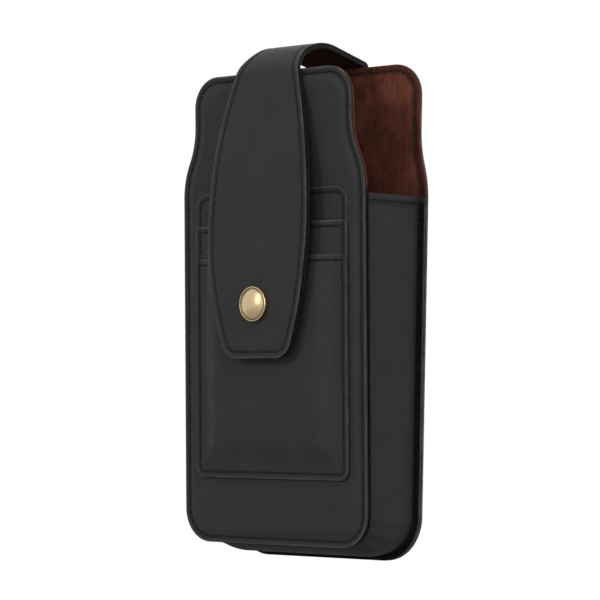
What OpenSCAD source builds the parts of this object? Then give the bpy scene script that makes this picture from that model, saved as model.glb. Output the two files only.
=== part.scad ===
// Upright belt pouch with two card slots and a closing strap, in millimetres.
// +X is the wearer's right seen from the front, the front faces -Y and +Z is up.
// The origin is the centre of the belt passage.

/* [Body] */
// Width of both panels below the shoulders
body_w = 87.4; // [80:0.2:96]
// Height of the front panel
front_h = 170; // [160:1:184]
// Width of the front panel above the shoulders
front_neck_w = 75.6; // [68:0.2:78]
// Width of the back panel above the shoulders
back_neck_w = 80; // [70:0.2:79.8]
// Height of the front panel's lower edge above the back panel's
front_rise = 4.8; // [1:0.1:8]
// Height of the back panel's top edge above the front panel's
back_over = 4.7; // [3:0.1:9]
// Depth over both panels at the front panel's lower edge
bottom_depth = 30; // [24:0.5:38]
// Forward lean of the front panel, in degrees
front_tilt = 2.5; // [0:0.1:4]
// Height of the side walls, measured up the front panel
mouth_h = 125; // [112:1:132]
// Height of the mouth at the back panel above that
mouth_rise = 1.1; // [0:0.1:3]
// Length of the curved shoulders
shoulder_h = 26; // [20:0.5:28]
// Start of the front panel's shoulder above the mouth
front_shoulder_gap = 1; // [0:0.1:4]
// Start of the back panel's shoulder below the mouth
back_shoulder_gap = 1.8; // [0:0.1:4]

/* [Corners] */
// Radius of the front panel's lower corners
front_low_r = 12; // [9:0.5:16]
// Radius of the front panel's upper corners
front_top_r = 11; // [7:0.5:13]
// Radius of the back panel's lower corners
back_low_r = 16; // [10:0.5:20]
// Radius of the back panel's upper corners
back_top_r = 12; // [7:0.5:15]

/* [Layers] */
// Thickness of the outer leather
leather_t = 0.9; // [0.6:0.1:1.2]
// Thickness of the lining
lining_t = 0.6; // [0.4:0.1:0.9]
// Thickness of the stiffening boards
board_t = 1.2; // [0.8:0.1:2]
// Height by which the leather rises over its board
panel_lift = 0.6; // [0.3:0.1:0.8]
// Width of the flat sewn border around a panel
border_w = 3.6; // [3:0.1:5]
// Width of the slope between the border and the raised middle
slope_w = 1.6; // [1:0.1:2.4]
// Rounding of the leather's painted edges
edge_r = 0.3; // [0.1:0.05:0.4]

/* [Side wall] */
// Thickness of the wall's leather
wall_t = 0.8; // [0.6:0.1:1.2]
// Width of the wall's sewn flanges
flange_w = 2.5; // [2.4:0.1:4]
// Radius of the fold between a flange and the wall
fold_r = 0.8; // [0.5:0.1:1.2]
// How far the wall swells at the sides
side_swell = 1.2; // [0:0.1:2]
// How far the wall swells under the bottom
low_swell = 3.8; // [0:0.1:5]
// Height of the turned hem at the mouth
hem_h = 5; // [4:0.5:8]

/* [Card slots] */
// Distance from the body's edge to the card layers
pocket_margin = 7.2; // [6:0.1:14]
// Height of the card layers' lower edge on the front panel
pocket_low = 23.8; // [14:0.2:34]
// Height of the outer card layer
pocket_h = 79.4; // [60:0.2:86]
// Step between the top edges of neighbouring card layers
slot_step = 12; // [8:0.5:15]
// Thickness of each card layer
layer_t = 0.7; // [0.5:0.1:0.9]
// Free depth of the inner card slot
inner_gap = 0.9; // [0.8:0.1:1.4]
// Free depth of the outer card slot
outer_gap = 1.1; // [1:0.1:1.6]
// Sewn border of the card layers
pocket_border = 3.6; // [3:0.1:5]
// Radius of the card layers' lower corners
pocket_low_r = 4; // [2:0.5:8]
// Radius of the card layers' upper corners
pocket_lip_r = 2; // [1:0.5:3.5]
// Radius of the backing's upper corners
pocket_top_r = 5.5; // [2:0.5:9]

/* [Strap] */
// Thickness of the strap's leather
strap_leather_t = 1.2; // [0.9:0.1:1.5]
// Thickness of the strap's lining
strap_lining_t = 0.7; // [0.4:0.1:0.9]
// Width of the strap where it crosses the top
strap_neck_w = 24.5; // [20:0.5:32]
// Greatest width of the strap
strap_w = 47.2; // [38:0.2:56]
// Height of the greatest width above the strap's end
strap_wide_h = 47; // [40:0.5:54]
// Side radius above the greatest width
strap_upper_r = 181; // [150:1:240]
// Side radius below the greatest width
strap_lower_r = 123; // [90:1:150]
// Corner radius of the strap's end
strap_end_r = 7; // [4:0.5:9]
// Length of the strap's end below the snap
strap_end_h = 19.3; // [14:0.1:24]
// Distance from the outer card layer to the strap at the snap
strap_gap = 2.7; // [2.4:0.1:3.2]
// Upward angle at which the strap leaves the back panel
strap_rise = 12; // [8:0.5:18]
// Length of the strap's crown
crown_len = 23.5; // [21:0.5:26]
// Angle turned by the crown
crown_angle = 64; // [61:0.5:67]
// Length of the bend at the front panel's top
brow_len = 3.5; // [3:0.5:6]
// Length of the straight stretch in the middle of the strap's front
straight_len = 22; // [14:0.5:26]
// Length of the bend by which the strap settles above the snap
settle_len = 7.5; // [5:0.5:10]
// Length of the level stretch between that bend and the snap
level_len = 9.5; // [7:0.5:12]
// Angle turned by the bend by which the strap settles
settle_angle = 3.5; // [2.5:0.1:4.5]
// Distance by which the strap swells outwards between the front panel's top and the snap
strap_swell = 6.8; // [6:0.1:7.4]
// Length of the strap's sewn end on the back panel
anchor_h = 25; // [18:0.5:28]
// Clearance between the strap and the edges that it passes
strap_clear = 0.3; // [0.2:0.05:0.5]

/* [Belt loop] */
// Width of the belt loop
loop_w = 50; // [36:1:64]
// Length of its straight stretch, for the widest belt
belt_w = 50; // [38:1:54]
// Free depth of the passage
belt_gap = 6; // [5:0.5:8]
// Angle of the loop's slopes
loop_slope = 75; // [60:1:80]
// Length of each sewn end
loop_end_h = 10; // [8:0.5:12]
// Thickness of the loop's leather
loop_leather_t = 1.1; // [0.8:0.1:1.6]
// Thickness of the loop's lining
loop_lining_t = 0.7; // [0.4:0.1:1]
// Distance of the passage's centre below the back panel's top edge
loop_drop = 72.3; // [71:0.1:84]

/* [Snap] */
// Distance of the snap below the outer card layer's top edge
snap_drop = 17; // [12:0.5:24]
// Diameter of the cap
cap_d = 12.5; // [10:0.5:15]
// Height of the cap's dome over its rim
cap_h = 2.4; // [1.6:0.1:3.2]
// Height of the cap's rim
cap_rim_h = 0.8; // [0.5:0.1:1]
// Diameter of the cap's barrel
barrel_d = 3.5; // [3:0.1:4]
// Diameter of the hollow in the barrel
barrel_bore_d = 2.5; // [1.5:0.1:2.6]
// Diameter of the socket
socket_d = 10; // [8.5:0.1:12]
// Height of the socket
socket_h = 2; // [1.8:0.1:2.3]
// Thickness of the cap's rolled barrel end
rolled_t = 0.2; // [0.1:0.05:0.25]
// Diameter of the cap's rolled barrel end
rolled_d = 4.5; // [4.2:0.1:4.9]
// Diameter of the socket's mouth
socket_bore_d = 5.6; // [5.2:0.1:6.4]
// Diameter of the stud's head
stud_d = 3.6; // [3:0.1:3.8]
// Depth by which the stud stands in the socket
stud_grip = 1.1; // [0.6:0.1:1.2]
// Clearance above the stud's head
stud_air = 0.4; // [0.3:0.05:0.5]
// Thickness of the stud's base
stud_base_t = 0.5; // [0.3:0.1:0.6]
// Thickness of the post's head
post_head_t = 0.4; // [0.3:0.1:0.6]
// Diameter of the stud's base and of the post's head
stud_base_d = 8.5; // [7:0.1:10]
// Diameter of the post's shank
shank_d = 2.2; // [1.6:0.1:2.6]

/* [Hidden] */
$fn = 64;

leather_colour = "#343435";
lining_colour = "#7c4636";
board_colour = "#a8947a";
brass_colour = "#d8bc82";

corner_steps = 7;
shoulder_steps = 5;
bend_step = 5;
overshoot = 10;

skin_t = leather_t + lining_t;
back_h = front_rise + front_h * cos(front_tilt) + back_over;
mouth_z = front_rise + mouth_h * cos(front_tilt) + mouth_rise;
fit_air = 0.05;

// Outlines are [body width, neck width, height, lower radius, upper radius, shoulder start]
front_outline = [
  body_w, front_neck_w, front_h, front_low_r, front_top_r, mouth_h + front_shoulder_gap
];
back_outline = [
  body_w, back_neck_w, back_h, back_low_r, back_top_r, mouth_z - back_shoulder_gap
];

// Points of an arc about c, from angle a to angle b
function arc(c, r, a, b, n) =
  [for (k = [0 : n]) c + r * [cos(a + (b - a) * k / n), sin(a + (b - a) * k / n)]];

function mirrored(pts) = [for (k = [len(pts) - 1 : -1 : 0]) [-pts[k].x, pts[k].y]];

function tail_of(pts) = [for (k = [1 : len(pts) - 1]) pts[k]];

// Right half of a shouldered outline set in by i, with its arcs kept concentric
function half_outline(o, i) =
  let (
    step = (o[0] - o[1]) / 2,
    turn = 2 * atan(step / shoulder_h),
    r = shoulder_h / sin(turn) / 2,
    start = o[5]
  )
  concat(
    arc([o[0] / 2 - o[3], o[3]], o[3] - i, -90, 0, corner_steps),
    arc([o[0] / 2 - r, start], r - i, 0, turn, shoulder_steps),
    tail_of(arc([o[1] / 2 + r, start + shoulder_h], r + i, 180 + turn, 180, shoulder_steps)),
    arc([o[1] / 2 - o[4], o[2] - o[4]], o[4] - i, 0, 90, corner_steps)
  );

function outline(o, i) = let (half = half_outline(o, i)) concat(half, mirrored(half));

// Rounded plate from z0 to z1, set in by i
function plate_outline(w, z0, z1, low_r, top_r, i = 0) =
  let (
    half = concat(
      arc([w / 2 - low_r, z0 + low_r], low_r - i, -90, 0, corner_steps),
      arc([w / 2 - top_r, z1 - top_r], top_r - i, 0, 90, corner_steps)
    )
  )
  concat(half, mirrored(half));

// Faces between two rows of n points that start at a and b
function strip(a, b, n, closed) =
  [for (k = [0 : n - (closed ? 1 : 2)])
    let (m = (k + 1) % n)
    each [[a + k, a + m, b + m], [a + k, b + m, b + k]]];

// Closed solid through mirrored rings of equal length, capped at both ends
module loft(rings) {
  n = len(rings[0]);
  last = (len(rings) - 1) * n;
  polyhedron(
    points = [for (ring = rings) each ring],
    faces = concat(
      [for (k = [0 : n / 2 - 2]) each [[k + 1, k, n - 1 - k], [k + 1, n - 1 - k, n - 2 - k]]],
      [for (r = [0 : len(rings) - 2]) each strip(r * n, (r + 1) * n, n, true)],
      [for (k = [0 : n / 2 - 2])
        let (a = last + k, b = last + n - 1 - k)
        each [[a, a + 1, b], [a + 1, b - 1, b]]]
    )
  );
}

// Closed sheet between two grids of points, rows by columns
module sheet(outer, inner) {
  rows = len(outer);
  cols = len(outer[0]);
  half = rows * cols;
  grid = [for (r = [0 : rows - 2]) each strip(r * cols, (r + 1) * cols, cols, false)];
  flipped = [for (f = grid) [f[2] + half, f[1] + half, f[0] + half]];
  ends = [for (r = [0, rows - 1], c = [0 : cols - 2])
    let (p = r * cols + c)
    each r == 0
      ? [[p, p + half + 1, p + 1], [p, p + half, p + half + 1]]
      : [[p, p + 1, p + half + 1], [p, p + half + 1, p + half]]];
  sides = [for (c = [0, cols - 1], r = [0 : rows - 2])
    let (p = r * cols + c, q = p + cols)
    each c == 0
      ? [[p, q, q + half], [p, q + half, p + half]]
      : [[p, q + half, q], [p, p + half, q + half]]];
  polyhedron(
    points = concat([for (row = outer) each row], [for (row = inner) each row]),
    faces = concat(grid, flipped, ends, sides)
  );
}

// Panel through [inset, height] rings, facing -Y
module skin(o, rings) {
  loft([for (ring = rings) [for (p = outline(o, ring[0])) [p.x, -ring[1], p.y]]]);
}

// Flat plate between two heights in front of the front panel
module plate(pts, low, high) {
  rotate([90, 0, 0])
    translate([0, 0, low])
      linear_extrude(high - low)
        polygon(pts);
}

// Place in front of the leaning front panel
module on_front() {
  translate([0, -bottom_depth, front_rise])
    rotate([front_tilt, 0, 0])
      children();
}

// Side view point, [y, z], at height v up the front panel and distance w in front of it
function front_point(v, w) = [
  -bottom_depth - v * sin(front_tilt) - w * cos(front_tilt),
  front_rise + v * cos(front_tilt) - w * sin(front_tilt)
];

function front_distance(p) =
  -(p.x + bottom_depth) * cos(front_tilt) - (p.y - front_rise) * sin(front_tilt);

border_in = border_w + slope_w;
board_in = border_in + leather_t;

leather_rings = [
  [border_in, panel_lift],
  [border_w, 0],
  [edge_r, 0],
  [0, -edge_r],
  [0, -leather_t],
  [border_w + leather_t, -leather_t],
  [border_in + leather_t, panel_lift - leather_t],
];

lining_rings = [
  [border_in + leather_t, panel_lift - leather_t - board_t],
  [border_w + leather_t, -leather_t],
  [0, -leather_t],
  [0, -skin_t],
  [border_w + leather_t, -skin_t],
  [border_in + leather_t, panel_lift - leather_t - board_t - lining_t],
];

module board(o) {
  plate(outline(o, board_in + fit_air), panel_lift - leather_t - board_t, panel_lift - leather_t);
}

module back_panel() {
  color(leather_colour) mirror([0, 1, 0]) skin(back_outline, leather_rings);
}

module back_board() {
  color(board_colour) mirror([0, 1, 0]) board(back_outline);
}

module back_lining() {
  color(lining_colour) mirror([0, 1, 0]) skin(back_outline, lining_rings);
}

module front_panel() {
  color(leather_colour) on_front() skin(front_outline, leather_rings);
}

module front_board() {
  color(board_colour) on_front() board(front_outline);
}

module front_lining() {
  color(lining_colour) on_front() skin(front_outline, lining_rings);
}

side_drops = [0, hem_h, hem_h + fit_air];

// Stations down one side, round the bottom and up the other, set in by i
function wall_path(w, low_r, top, i) =
  let (
    half = concat(
      [for (drop = side_drops) [w / 2 - i, top - drop]],
      arc([w / 2 - low_r, low_r], low_r - i, 0, -90, corner_steps)
    )
  )
  concat(half, mirrored(half));

// Where the wall bends, as shares of the way from the front panel to the back panel
swell_shares = [0.15, 0.35, 0.5, 0.65, 0.85];

// How far station k stands out halfway between the panels
function swell_at(k) =
  let (turn = min(k, stations - 1 - k) - len(side_drops))
  turn < 0 ? 0 : side_swell + (low_swell - side_swell) * turn / corner_steps;

// A point of station k for section s, at a share of the way to the back panel
function wall_point(k, s, share) =
  let (
    i = s[0] - swell_at(k) * sin(180 * share),
    near = front_wall_point(wall_path(body_w, front_low_r, mouth_h, i)[k], s[1]),
    far = wall_path(body_w, back_low_r, mouth_z, i)[k]
  )
  near * (1 - share) + [far.x, s[1], far.y] * share;

// One grid row at station k: columns run from the front flange to the back flange
function wall_row(k, sections) = [
  for (s = sections) wall_point(k, s, 0),
  for (share = swell_shares) wall_point(k, sections[len(sections) - 1], share),
  for (c = [len(sections) - 1 : -1 : 0]) wall_point(k, sections[c], 1),
];

function front_wall_point(p, w) = let (q = front_point(p.y, w)) [p.x, q.x, q.y];

stations = len(wall_path(body_w, back_low_r, mouth_z, 0));
wall_in = flange_w + fold_r;

// Wall sections are [inset, height over the panel's face]
wall_outside = [
  [0, -skin_t - wall_t],
  [flange_w, -skin_t - wall_t],
  [wall_in, -skin_t - wall_t - fold_r],
];
wall_inside = [
  [0, -skin_t],
  [flange_w + wall_t, -skin_t],
  [wall_in + wall_t, -skin_t - fold_r],
];
hem_inside = [for (s = wall_inside) s[0] > wall_in ? [s[0] + wall_t, s[1]] : s];
wall_lining_outside = [wall_inside[2]];
wall_lining_inside = [[wall_in + wall_t + lining_t, -skin_t - fold_r - lining_t]];

function in_hem(k) = k < 2 || k > stations - 3;

module gusset() {
  color(leather_colour)
    sheet(
      [for (k = [0 : stations - 1]) wall_row(k, wall_outside)],
      [for (k = [0 : stations - 1]) wall_row(k, in_hem(k) ? hem_inside : wall_inside)]
    );
}

module gusset_lining() {
  color(lining_colour)
    sheet(
      [for (k = [2 : stations - 3]) wall_row(k, wall_lining_outside)],
      [for (k = [2 : stations - 3]) wall_row(k, wall_lining_inside)]
    );
}

pocket_w = body_w - 2 * pocket_margin;
pocket_top = pocket_low + pocket_h;
slot_top = pocket_top + slot_step;
backing_top = slot_top + slot_step;
backing_face = panel_lift + layer_t;
slot_face = backing_face + inner_gap + layer_t;
pocket_face = slot_face + outer_gap + layer_t;

// Card layer that starts at height low, sewn on three sides and open at its top.
// Its raised middle starts inset from the edge and hollow keeps the layer's thickness.
module card_layer(low, face, top, inset) {
  difference() {
    union() {
      plate(
        plate_outline(pocket_w, pocket_low, top, pocket_low_r, pocket_lip_r),
        low, low + layer_t
      );
      raised(inset, top, low, face);
    }
    raised(inset + layer_t, top + overshoot, low - layer_t, face - layer_t);
  }
}

// Raised middle of a card layer, with sloping sides
module raised(inset, top, low, high) {
  hull() {
    plate(layer_middle(inset, top), low, low + layer_t);
    plate(layer_middle(inset + slope_w, top), low + layer_t, high);
  }
}

function layer_middle(inset, top) =
  plate_outline(
    pocket_w - 2 * inset, pocket_low + inset, top, pocket_low_r, edge_r
  );

module card_backing() {
  color(leather_colour)
    on_front()
      plate(
        plate_outline(pocket_w, pocket_low, backing_top, pocket_low_r, pocket_top_r),
        panel_lift, backing_face
      );
}

module card_slot() {
  color(leather_colour)
    on_front() card_layer(backing_face, slot_face, slot_top, pocket_border);
}

snap_v = pocket_top - snap_drop;

// Place at the snap, with the local +Z pointing out of the pouch at distance w
module on_snap(w) {
  on_front()
    translate([0, -w, snap_v])
      rotate([90, 0, 0])
        children();
}

module card_pocket() {
  color(leather_colour)
    difference() {
      on_front()
        card_layer(backing_face + layer_t, pocket_face, pocket_top, pocket_border - layer_t);
      on_snap(pocket_face - layer_t - overshoot) cylinder(d = shank_d + 2 * fit_air, h = 2 * overshoot);
    }
}

// Side view paths hold [y, z, heading], with heading 0 along -Y and 90 along +Z
function walk(start, heading, runs, i = 0) =
  i == len(runs) ? [[start.x, start.y, heading]] :
  let (
    length = runs[i][0],
    turn = runs[i][1],
    n = max(1, ceil(abs(turn) / bend_step)),
    steps = [for (k = [0 : n]) travel(start, heading, length, turn, n, k)]
  )
  concat(
    [for (k = [0 : n - 1]) [steps[k].x, steps[k].y, heading + turn * k / n]],
    walk(steps[n], heading + turn, runs, i + 1)
  );

// Point after k of n equal chords of an arc
function travel(start, heading, length, turn, n, k) =
  k == 0 ? start :
  let (a = heading + turn * (k - 0.5) / n)
  travel(start, heading, length, turn, n, k - 1) + length / n * [-cos(a), sin(a)];

// Point of a path moved by d towards the inside of its bends
function offset_point(p, d) = [p.x - d * sin(p.z), p.y - d * cos(p.z)];

// Closed side view outline of one layer of a path, between depths a and b
function layer_outline(path, a, b) = concat(
  [for (p = path) offset_point(p, a)],
  [for (k = [len(path) - 1 : -1 : 0]) offset_point(path[k], b)]
);

// Side view outline turned into a band of width w along X
module band(pts, w) {
  rotate([90, 0, 90])
    translate([0, 0, -w / 2])
      linear_extrude(w)
        polygon(pts);
}

strap_t = strap_leather_t + strap_lining_t;
strap_in = strap_t / 2;
strap_seam = strap_leather_t - strap_in;
hinge_y = panel_lift + strap_in;
hinge_z = back_h + strap_clear + strap_in;
strap_face = pocket_face + strap_gap + strap_t;

// The slack stretch takes up what the straight stretch and the settling bend leave of the swell
slack_len = front_h - snap_v - straight_len - settle_len - level_len;
slack_swell = strap_swell - straight_len * sin(settle_angle) - settle_len * sin(settle_angle / 2);
slack_angle = 2 * (asin(slack_swell / slack_len) - settle_angle);
brow_angle = strap_rise - crown_angle + 90 + front_tilt - settle_angle - slack_angle;

function strap_runs(rear_len) = [
  [rear_len, 0],
  [crown_len, -crown_angle],
  [brow_len, -brow_angle],
  [slack_len, -slack_angle],
  [straight_len, 0],
  [settle_len, -settle_angle],
  [level_len + 2 * strap_end_h, 0],
];

function strap_route(rear_len) = walk([hinge_y, hinge_z], strap_rise, strap_runs(rear_len));

// The rear stretch is as long as puts the strap's face in its place at the snap
short_route = strap_route(0);
short_face = front_distance(short_route[len(short_route) - 1]) + strap_in;
strap_path = strap_route((strap_face - short_face) / cos(strap_rise + front_tilt));

// Round end about the hinge line, for the layer between depths a and b
function hinge_end(a, b) = [
  for (k = [0 : corner_steps])
    let (d = b + (a - b) * k / corner_steps, reach = sqrt(max(0, strap_in * strap_in - d * d)))
    offset_point([hinge_y, hinge_z, strap_rise], d) + reach * [cos(strap_rise), -sin(strap_rise)]
];

strap_end_z = front_point(snap_v - strap_end_h, strap_face).y;

// Front view outline of the strap, from its end up past the crown
function strap_half() =
  let (
    half_w = strap_w / 2,
    wide_z = strap_end_z + strap_wide_h,
    low_x = half_w - strap_lower_r,
    corner_x = low_x + sqrt(pow(strap_lower_r - strap_end_r, 2) - pow(strap_wide_h - strap_end_r, 2)),
    corner_a = atan2(strap_end_r - strap_wide_h, corner_x - low_x),
    upper_a = acos(1 - (half_w - strap_neck_w / 2) / strap_upper_r)
  )
  concat(
    arc([corner_x, strap_end_z + strap_end_r], strap_end_r, -90, corner_a, corner_steps),
    tail_of(arc([low_x, wide_z], strap_lower_r, corner_a, 0, corner_steps)),
    tail_of(arc([half_w - strap_upper_r, wide_z], strap_upper_r, 0, upper_a, corner_steps)),
    [[strap_neck_w / 2, hinge_z + crown_len]]
  );

module strap_layer(a, b) {
  intersection() {
    band(concat(layer_outline(strap_path, a, b), hinge_end(a, b)), strap_w + overshoot);
    translate([0, hinge_y + overshoot, 0])
      plate(concat(strap_half(), mirrored(strap_half())), 0, bottom_depth * 2);
  }
}

module strap() {
  color(leather_colour)
    difference() {
      strap_layer(-strap_in, strap_seam);
      on_snap(strap_face - overshoot) cylinder(d = barrel_d + 2 * fit_air, h = 2 * overshoot);
    }
}

module strap_lining() {
  color(lining_colour)
    difference() {
      strap_layer(strap_seam, strap_in);
      on_snap(strap_face - overshoot) cylinder(d = barrel_d + 2 * fit_air, h = 2 * overshoot);
    }
}

module strap_anchor() {
  top = hinge_z - strap_in - strap_clear;
  color(leather_colour)
    mirror([0, 1, 0])
      plate(
        plate_outline(strap_neck_w, top - anchor_h, top, strap_end_r / 2, edge_r),
        panel_lift, panel_lift + strap_t
      );
}

loop_t = loop_leather_t + loop_lining_t;
loop_in = loop_t / 2;
loop_r = belt_gap / (2 * (1 - cos(loop_slope)));
loop_bend = loop_r * loop_slope * PI / 180;
loop_half_h = loop_end_h + 2 * loop_r * sin(loop_slope) + belt_w / 2;
loop_z = back_h - loop_drop;

loop_path = walk([panel_lift + loop_in, loop_z - loop_half_h], 90, [
  [loop_end_h, 0],
  [loop_bend, loop_slope],
  [loop_bend, -loop_slope],
  [belt_w, 0],
  [loop_bend, -loop_slope],
  [loop_bend, loop_slope],
  [loop_end_h, 0],
]);

module belt_loop() {
  color(leather_colour)
    band(layer_outline(loop_path, -loop_in, loop_leather_t - loop_in), loop_w);
}

module belt_loop_lining() {
  color(lining_colour)
    band(layer_outline(loop_path, loop_leather_t - loop_in, loop_in), loop_w);
}

socket_wall = socket_h - stud_grip - stud_air - rolled_t;

module snap_cap() {
  dome_r = cap_d / 2 - cap_rim_h;
  ball_r = (dome_r * dome_r + cap_h * cap_h) / (2 * cap_h);
  color(brass_colour)
    on_snap(strap_face)
      difference() {
        union() {
          rotate_extrude()
            polygon(concat(
              [[0, 0], [cap_d / 2 - cap_rim_h / 2, 0]],
              arc([cap_d / 2 - cap_rim_h / 2, cap_rim_h / 2], cap_rim_h / 2, -90, 90, corner_steps),
              [for (k = [0 : corner_steps])
                let (x = dome_r * (1 - k / corner_steps))
                [x, cap_rim_h + sqrt(ball_r * ball_r - x * x) - ball_r + cap_h]]
            ));
          translate([0, 0, -strap_t - socket_wall - rolled_t])
            cylinder(d = barrel_d, h = strap_t + socket_wall + rolled_t + edge_r);
          translate([0, 0, -strap_t - socket_wall - rolled_t])
            cylinder(d = rolled_d, h = rolled_t);
        }
        translate([0, 0, -strap_t - socket_h])
          cylinder(d = barrel_bore_d, h = strap_t + socket_h);
      }
}

module snap_socket() {
  color(brass_colour)
    on_snap(strap_face - strap_t - socket_h)
      difference() {
        cylinder(d = socket_d, h = socket_h);
        translate([0, 0, -1])
          cylinder(d = socket_bore_d, h = socket_h - socket_wall + 1);
        cylinder(d = barrel_d + 2 * fit_air, h = socket_h + 1);
      }
}

stud_h = strap_gap - socket_h + stud_grip;

module snap_stud() {
  color(brass_colour)
    on_snap(pocket_face)
      difference() {
        union() {
          cylinder(d = stud_base_d, h = stud_base_t);
          cylinder(d = stud_d - 2 * edge_r, h = stud_h);
          translate([0, 0, stud_h - 2 * edge_r])
            cylinder(d = stud_d, h = edge_r);
        }
        translate([0, 0, -1])
          cylinder(d = shank_d + 2 * fit_air, h = stud_base_t + 1);
      }
}

module snap_post() {
  color(brass_colour)
    on_snap(pocket_face - layer_t - post_head_t)
      union() {
        cylinder(d = stud_base_d, h = post_head_t);
        cylinder(d = shank_d, h = post_head_t + layer_t + stud_base_t);
      }
}

// Moves the belt passage's centre to the origin
module placed() {
  translate([0, -panel_lift - belt_gap / 2, -loop_z]) children();
}

placed() back_panel();
placed() back_board();
placed() back_lining();
placed() front_panel();
placed() front_board();
placed() front_lining();
placed() gusset();
placed() gusset_lining();
placed() card_backing();
placed() card_slot();
placed() card_pocket();
placed() belt_loop();
placed() belt_loop_lining();
placed() strap_anchor();
placed() strap();
placed() strap_lining();
placed() snap_cap();
placed() snap_socket();
placed() snap_stud();
placed() snap_post();
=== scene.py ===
"""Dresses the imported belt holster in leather, lining, thread and brass."""

import logging
import math
from dataclasses import dataclass, field, replace
from enum import Enum
from typing import Callable, Iterable, Sequence

import bmesh
import bpy
from mathutils import Matrix, Vector
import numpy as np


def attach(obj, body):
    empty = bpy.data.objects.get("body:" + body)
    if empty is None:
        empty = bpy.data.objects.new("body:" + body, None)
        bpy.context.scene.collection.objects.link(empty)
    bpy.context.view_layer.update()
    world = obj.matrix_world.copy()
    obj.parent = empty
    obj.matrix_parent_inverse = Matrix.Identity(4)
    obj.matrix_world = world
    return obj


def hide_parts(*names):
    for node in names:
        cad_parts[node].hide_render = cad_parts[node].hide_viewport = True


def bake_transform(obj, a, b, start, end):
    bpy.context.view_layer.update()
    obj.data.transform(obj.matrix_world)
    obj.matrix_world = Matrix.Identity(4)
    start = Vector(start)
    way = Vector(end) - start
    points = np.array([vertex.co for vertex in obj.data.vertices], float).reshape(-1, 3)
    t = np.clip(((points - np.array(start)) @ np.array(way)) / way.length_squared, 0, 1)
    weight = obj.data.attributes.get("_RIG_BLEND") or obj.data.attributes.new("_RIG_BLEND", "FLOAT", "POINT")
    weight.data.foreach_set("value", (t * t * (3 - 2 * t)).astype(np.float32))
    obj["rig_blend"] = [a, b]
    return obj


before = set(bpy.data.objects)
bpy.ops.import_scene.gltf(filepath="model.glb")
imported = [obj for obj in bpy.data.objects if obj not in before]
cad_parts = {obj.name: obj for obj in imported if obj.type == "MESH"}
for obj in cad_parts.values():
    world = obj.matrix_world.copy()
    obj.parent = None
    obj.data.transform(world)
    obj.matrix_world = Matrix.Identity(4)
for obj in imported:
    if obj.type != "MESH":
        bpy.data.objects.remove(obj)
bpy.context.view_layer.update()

log = logging.getLogger("holster")

MM = 0.001
SEAM_REACH = 0.75
SAME_PLACE = 1e-4
ON_THE_CUT = 0.02
SHARP_EDGE = 52.0

Colour = tuple[float, float, float]
Point = tuple[float, float]
Pair = tuple[float, float]
Step = tuple[float, float]
Placer = Callable[[Vector], Vector]
Mesh = bmesh.types.BMesh
Piece = bpy.types.Object
Material = bpy.types.Material
NodeTree = bpy.types.NodeTree
Node = bpy.types.Node
Socket = bpy.types.NodeSocket


class Body(Enum):
    """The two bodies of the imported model."""

    POUCH = "pouch"
    FLAP = "flap"


class Slot(Enum):
    """The record's material slots."""

    LEATHER = "leather"
    LINING = "lining"
    BOARD = "board"
    BRASS = "brass"


class Face(Enum):
    """Which side of a panel or strip a layer lies on."""

    OUTSIDE = 1
    INSIDE = -1


@dataclass(frozen=True)
class Cut:
    """The holster's sizes in millimetres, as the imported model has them."""

    body_w: float = 87.4
    front_h: float = 170.0
    front_neck_w: float = 75.6
    back_neck_w: float = 80.0
    front_rise: float = 4.8
    back_over: float = 4.7
    bottom_depth: float = 30.0
    front_tilt: float = 2.5
    mouth_h: float = 125.0
    mouth_rise: float = 1.1
    shoulder_h: float = 26.0
    front_shoulder_gap: float = 1.0
    back_shoulder_gap: float = 1.8
    front_low_r: float = 12.0
    front_top_r: float = 11.0
    back_low_r: float = 16.0
    back_top_r: float = 12.0
    leather_t: float = 0.9
    lining_t: float = 0.6
    panel_lift: float = 0.6
    belt_gap: float = 6.0
    loop_drop: float = 72.3

    @property
    def lean(self) -> float:
        """Forward lean of the front panel, in radians."""
        return math.radians(self.front_tilt)

    @property
    def back_h(self) -> float:
        """Height of the back panel."""
        return self.front_rise + self.front_h * math.cos(self.lean) + self.back_over

    @property
    def mouth_z(self) -> float:
        """Height of the mouth at the back panel."""
        return self.front_rise + self.mouth_h * math.cos(self.lean) + self.mouth_rise

    @property
    def skin_t(self) -> float:
        """Thickness of a panel's leather and lining at its sewn border."""
        return self.leather_t + self.lining_t

    @property
    def origin(self) -> Vector:
        """The belt passage's centre, which is the row frame's origin."""
        return Vector((0, self.panel_lift + self.belt_gap / 2, self.back_h - self.loop_drop))

    def row(self) -> Matrix:
        """Returns the change from the holster's millimetres to the row frame's metres."""
        return Matrix.Scale(MM, 4) @ Matrix.Translation(-self.origin)

    def front_up(self) -> Vector:
        """Returns the direction up the leaning front panel."""
        return Vector((0, -math.sin(self.lean), math.cos(self.lean)))

    def front_point(self, height: float, lift: float) -> Vector:
        """Finds a point on the front panel's middle line.

        Args:
            height: Distance up the front panel.
            lift: Distance in front of its border.

        Returns:
            The point in the holster's millimetres.
        """
        out = Vector((0, -math.cos(self.lean), -math.sin(self.lean)))
        foot = Vector((0, -self.bottom_depth, self.front_rise))
        return foot + height * self.front_up() + lift * out

    def front_plan(self, side: Face = Face.OUTSIDE) -> Matrix:
        """Gives the plane on which the front panel's layers are drawn.

        Args:
            side: OUTSIDE looks out of the pouch and INSIDE into it.

        Returns:
            The change from the drawing to the holster's millimetres.
        """
        return plan(Vector((side.value, 0, 0)), self.front_up(), self.front_point(0, 0))

    def back_plan(self, side: Face = Face.OUTSIDE) -> Matrix:
        """Gives the plane on which the back panel's layers are drawn.

        Args:
            side: OUTSIDE looks at the wearer and INSIDE into the pouch.

        Returns:
            The change from the drawing to the holster's millimetres.
        """
        return plan(Vector((-side.value, 0, 0)), Vector((0, 0, 1)), Vector())


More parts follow.
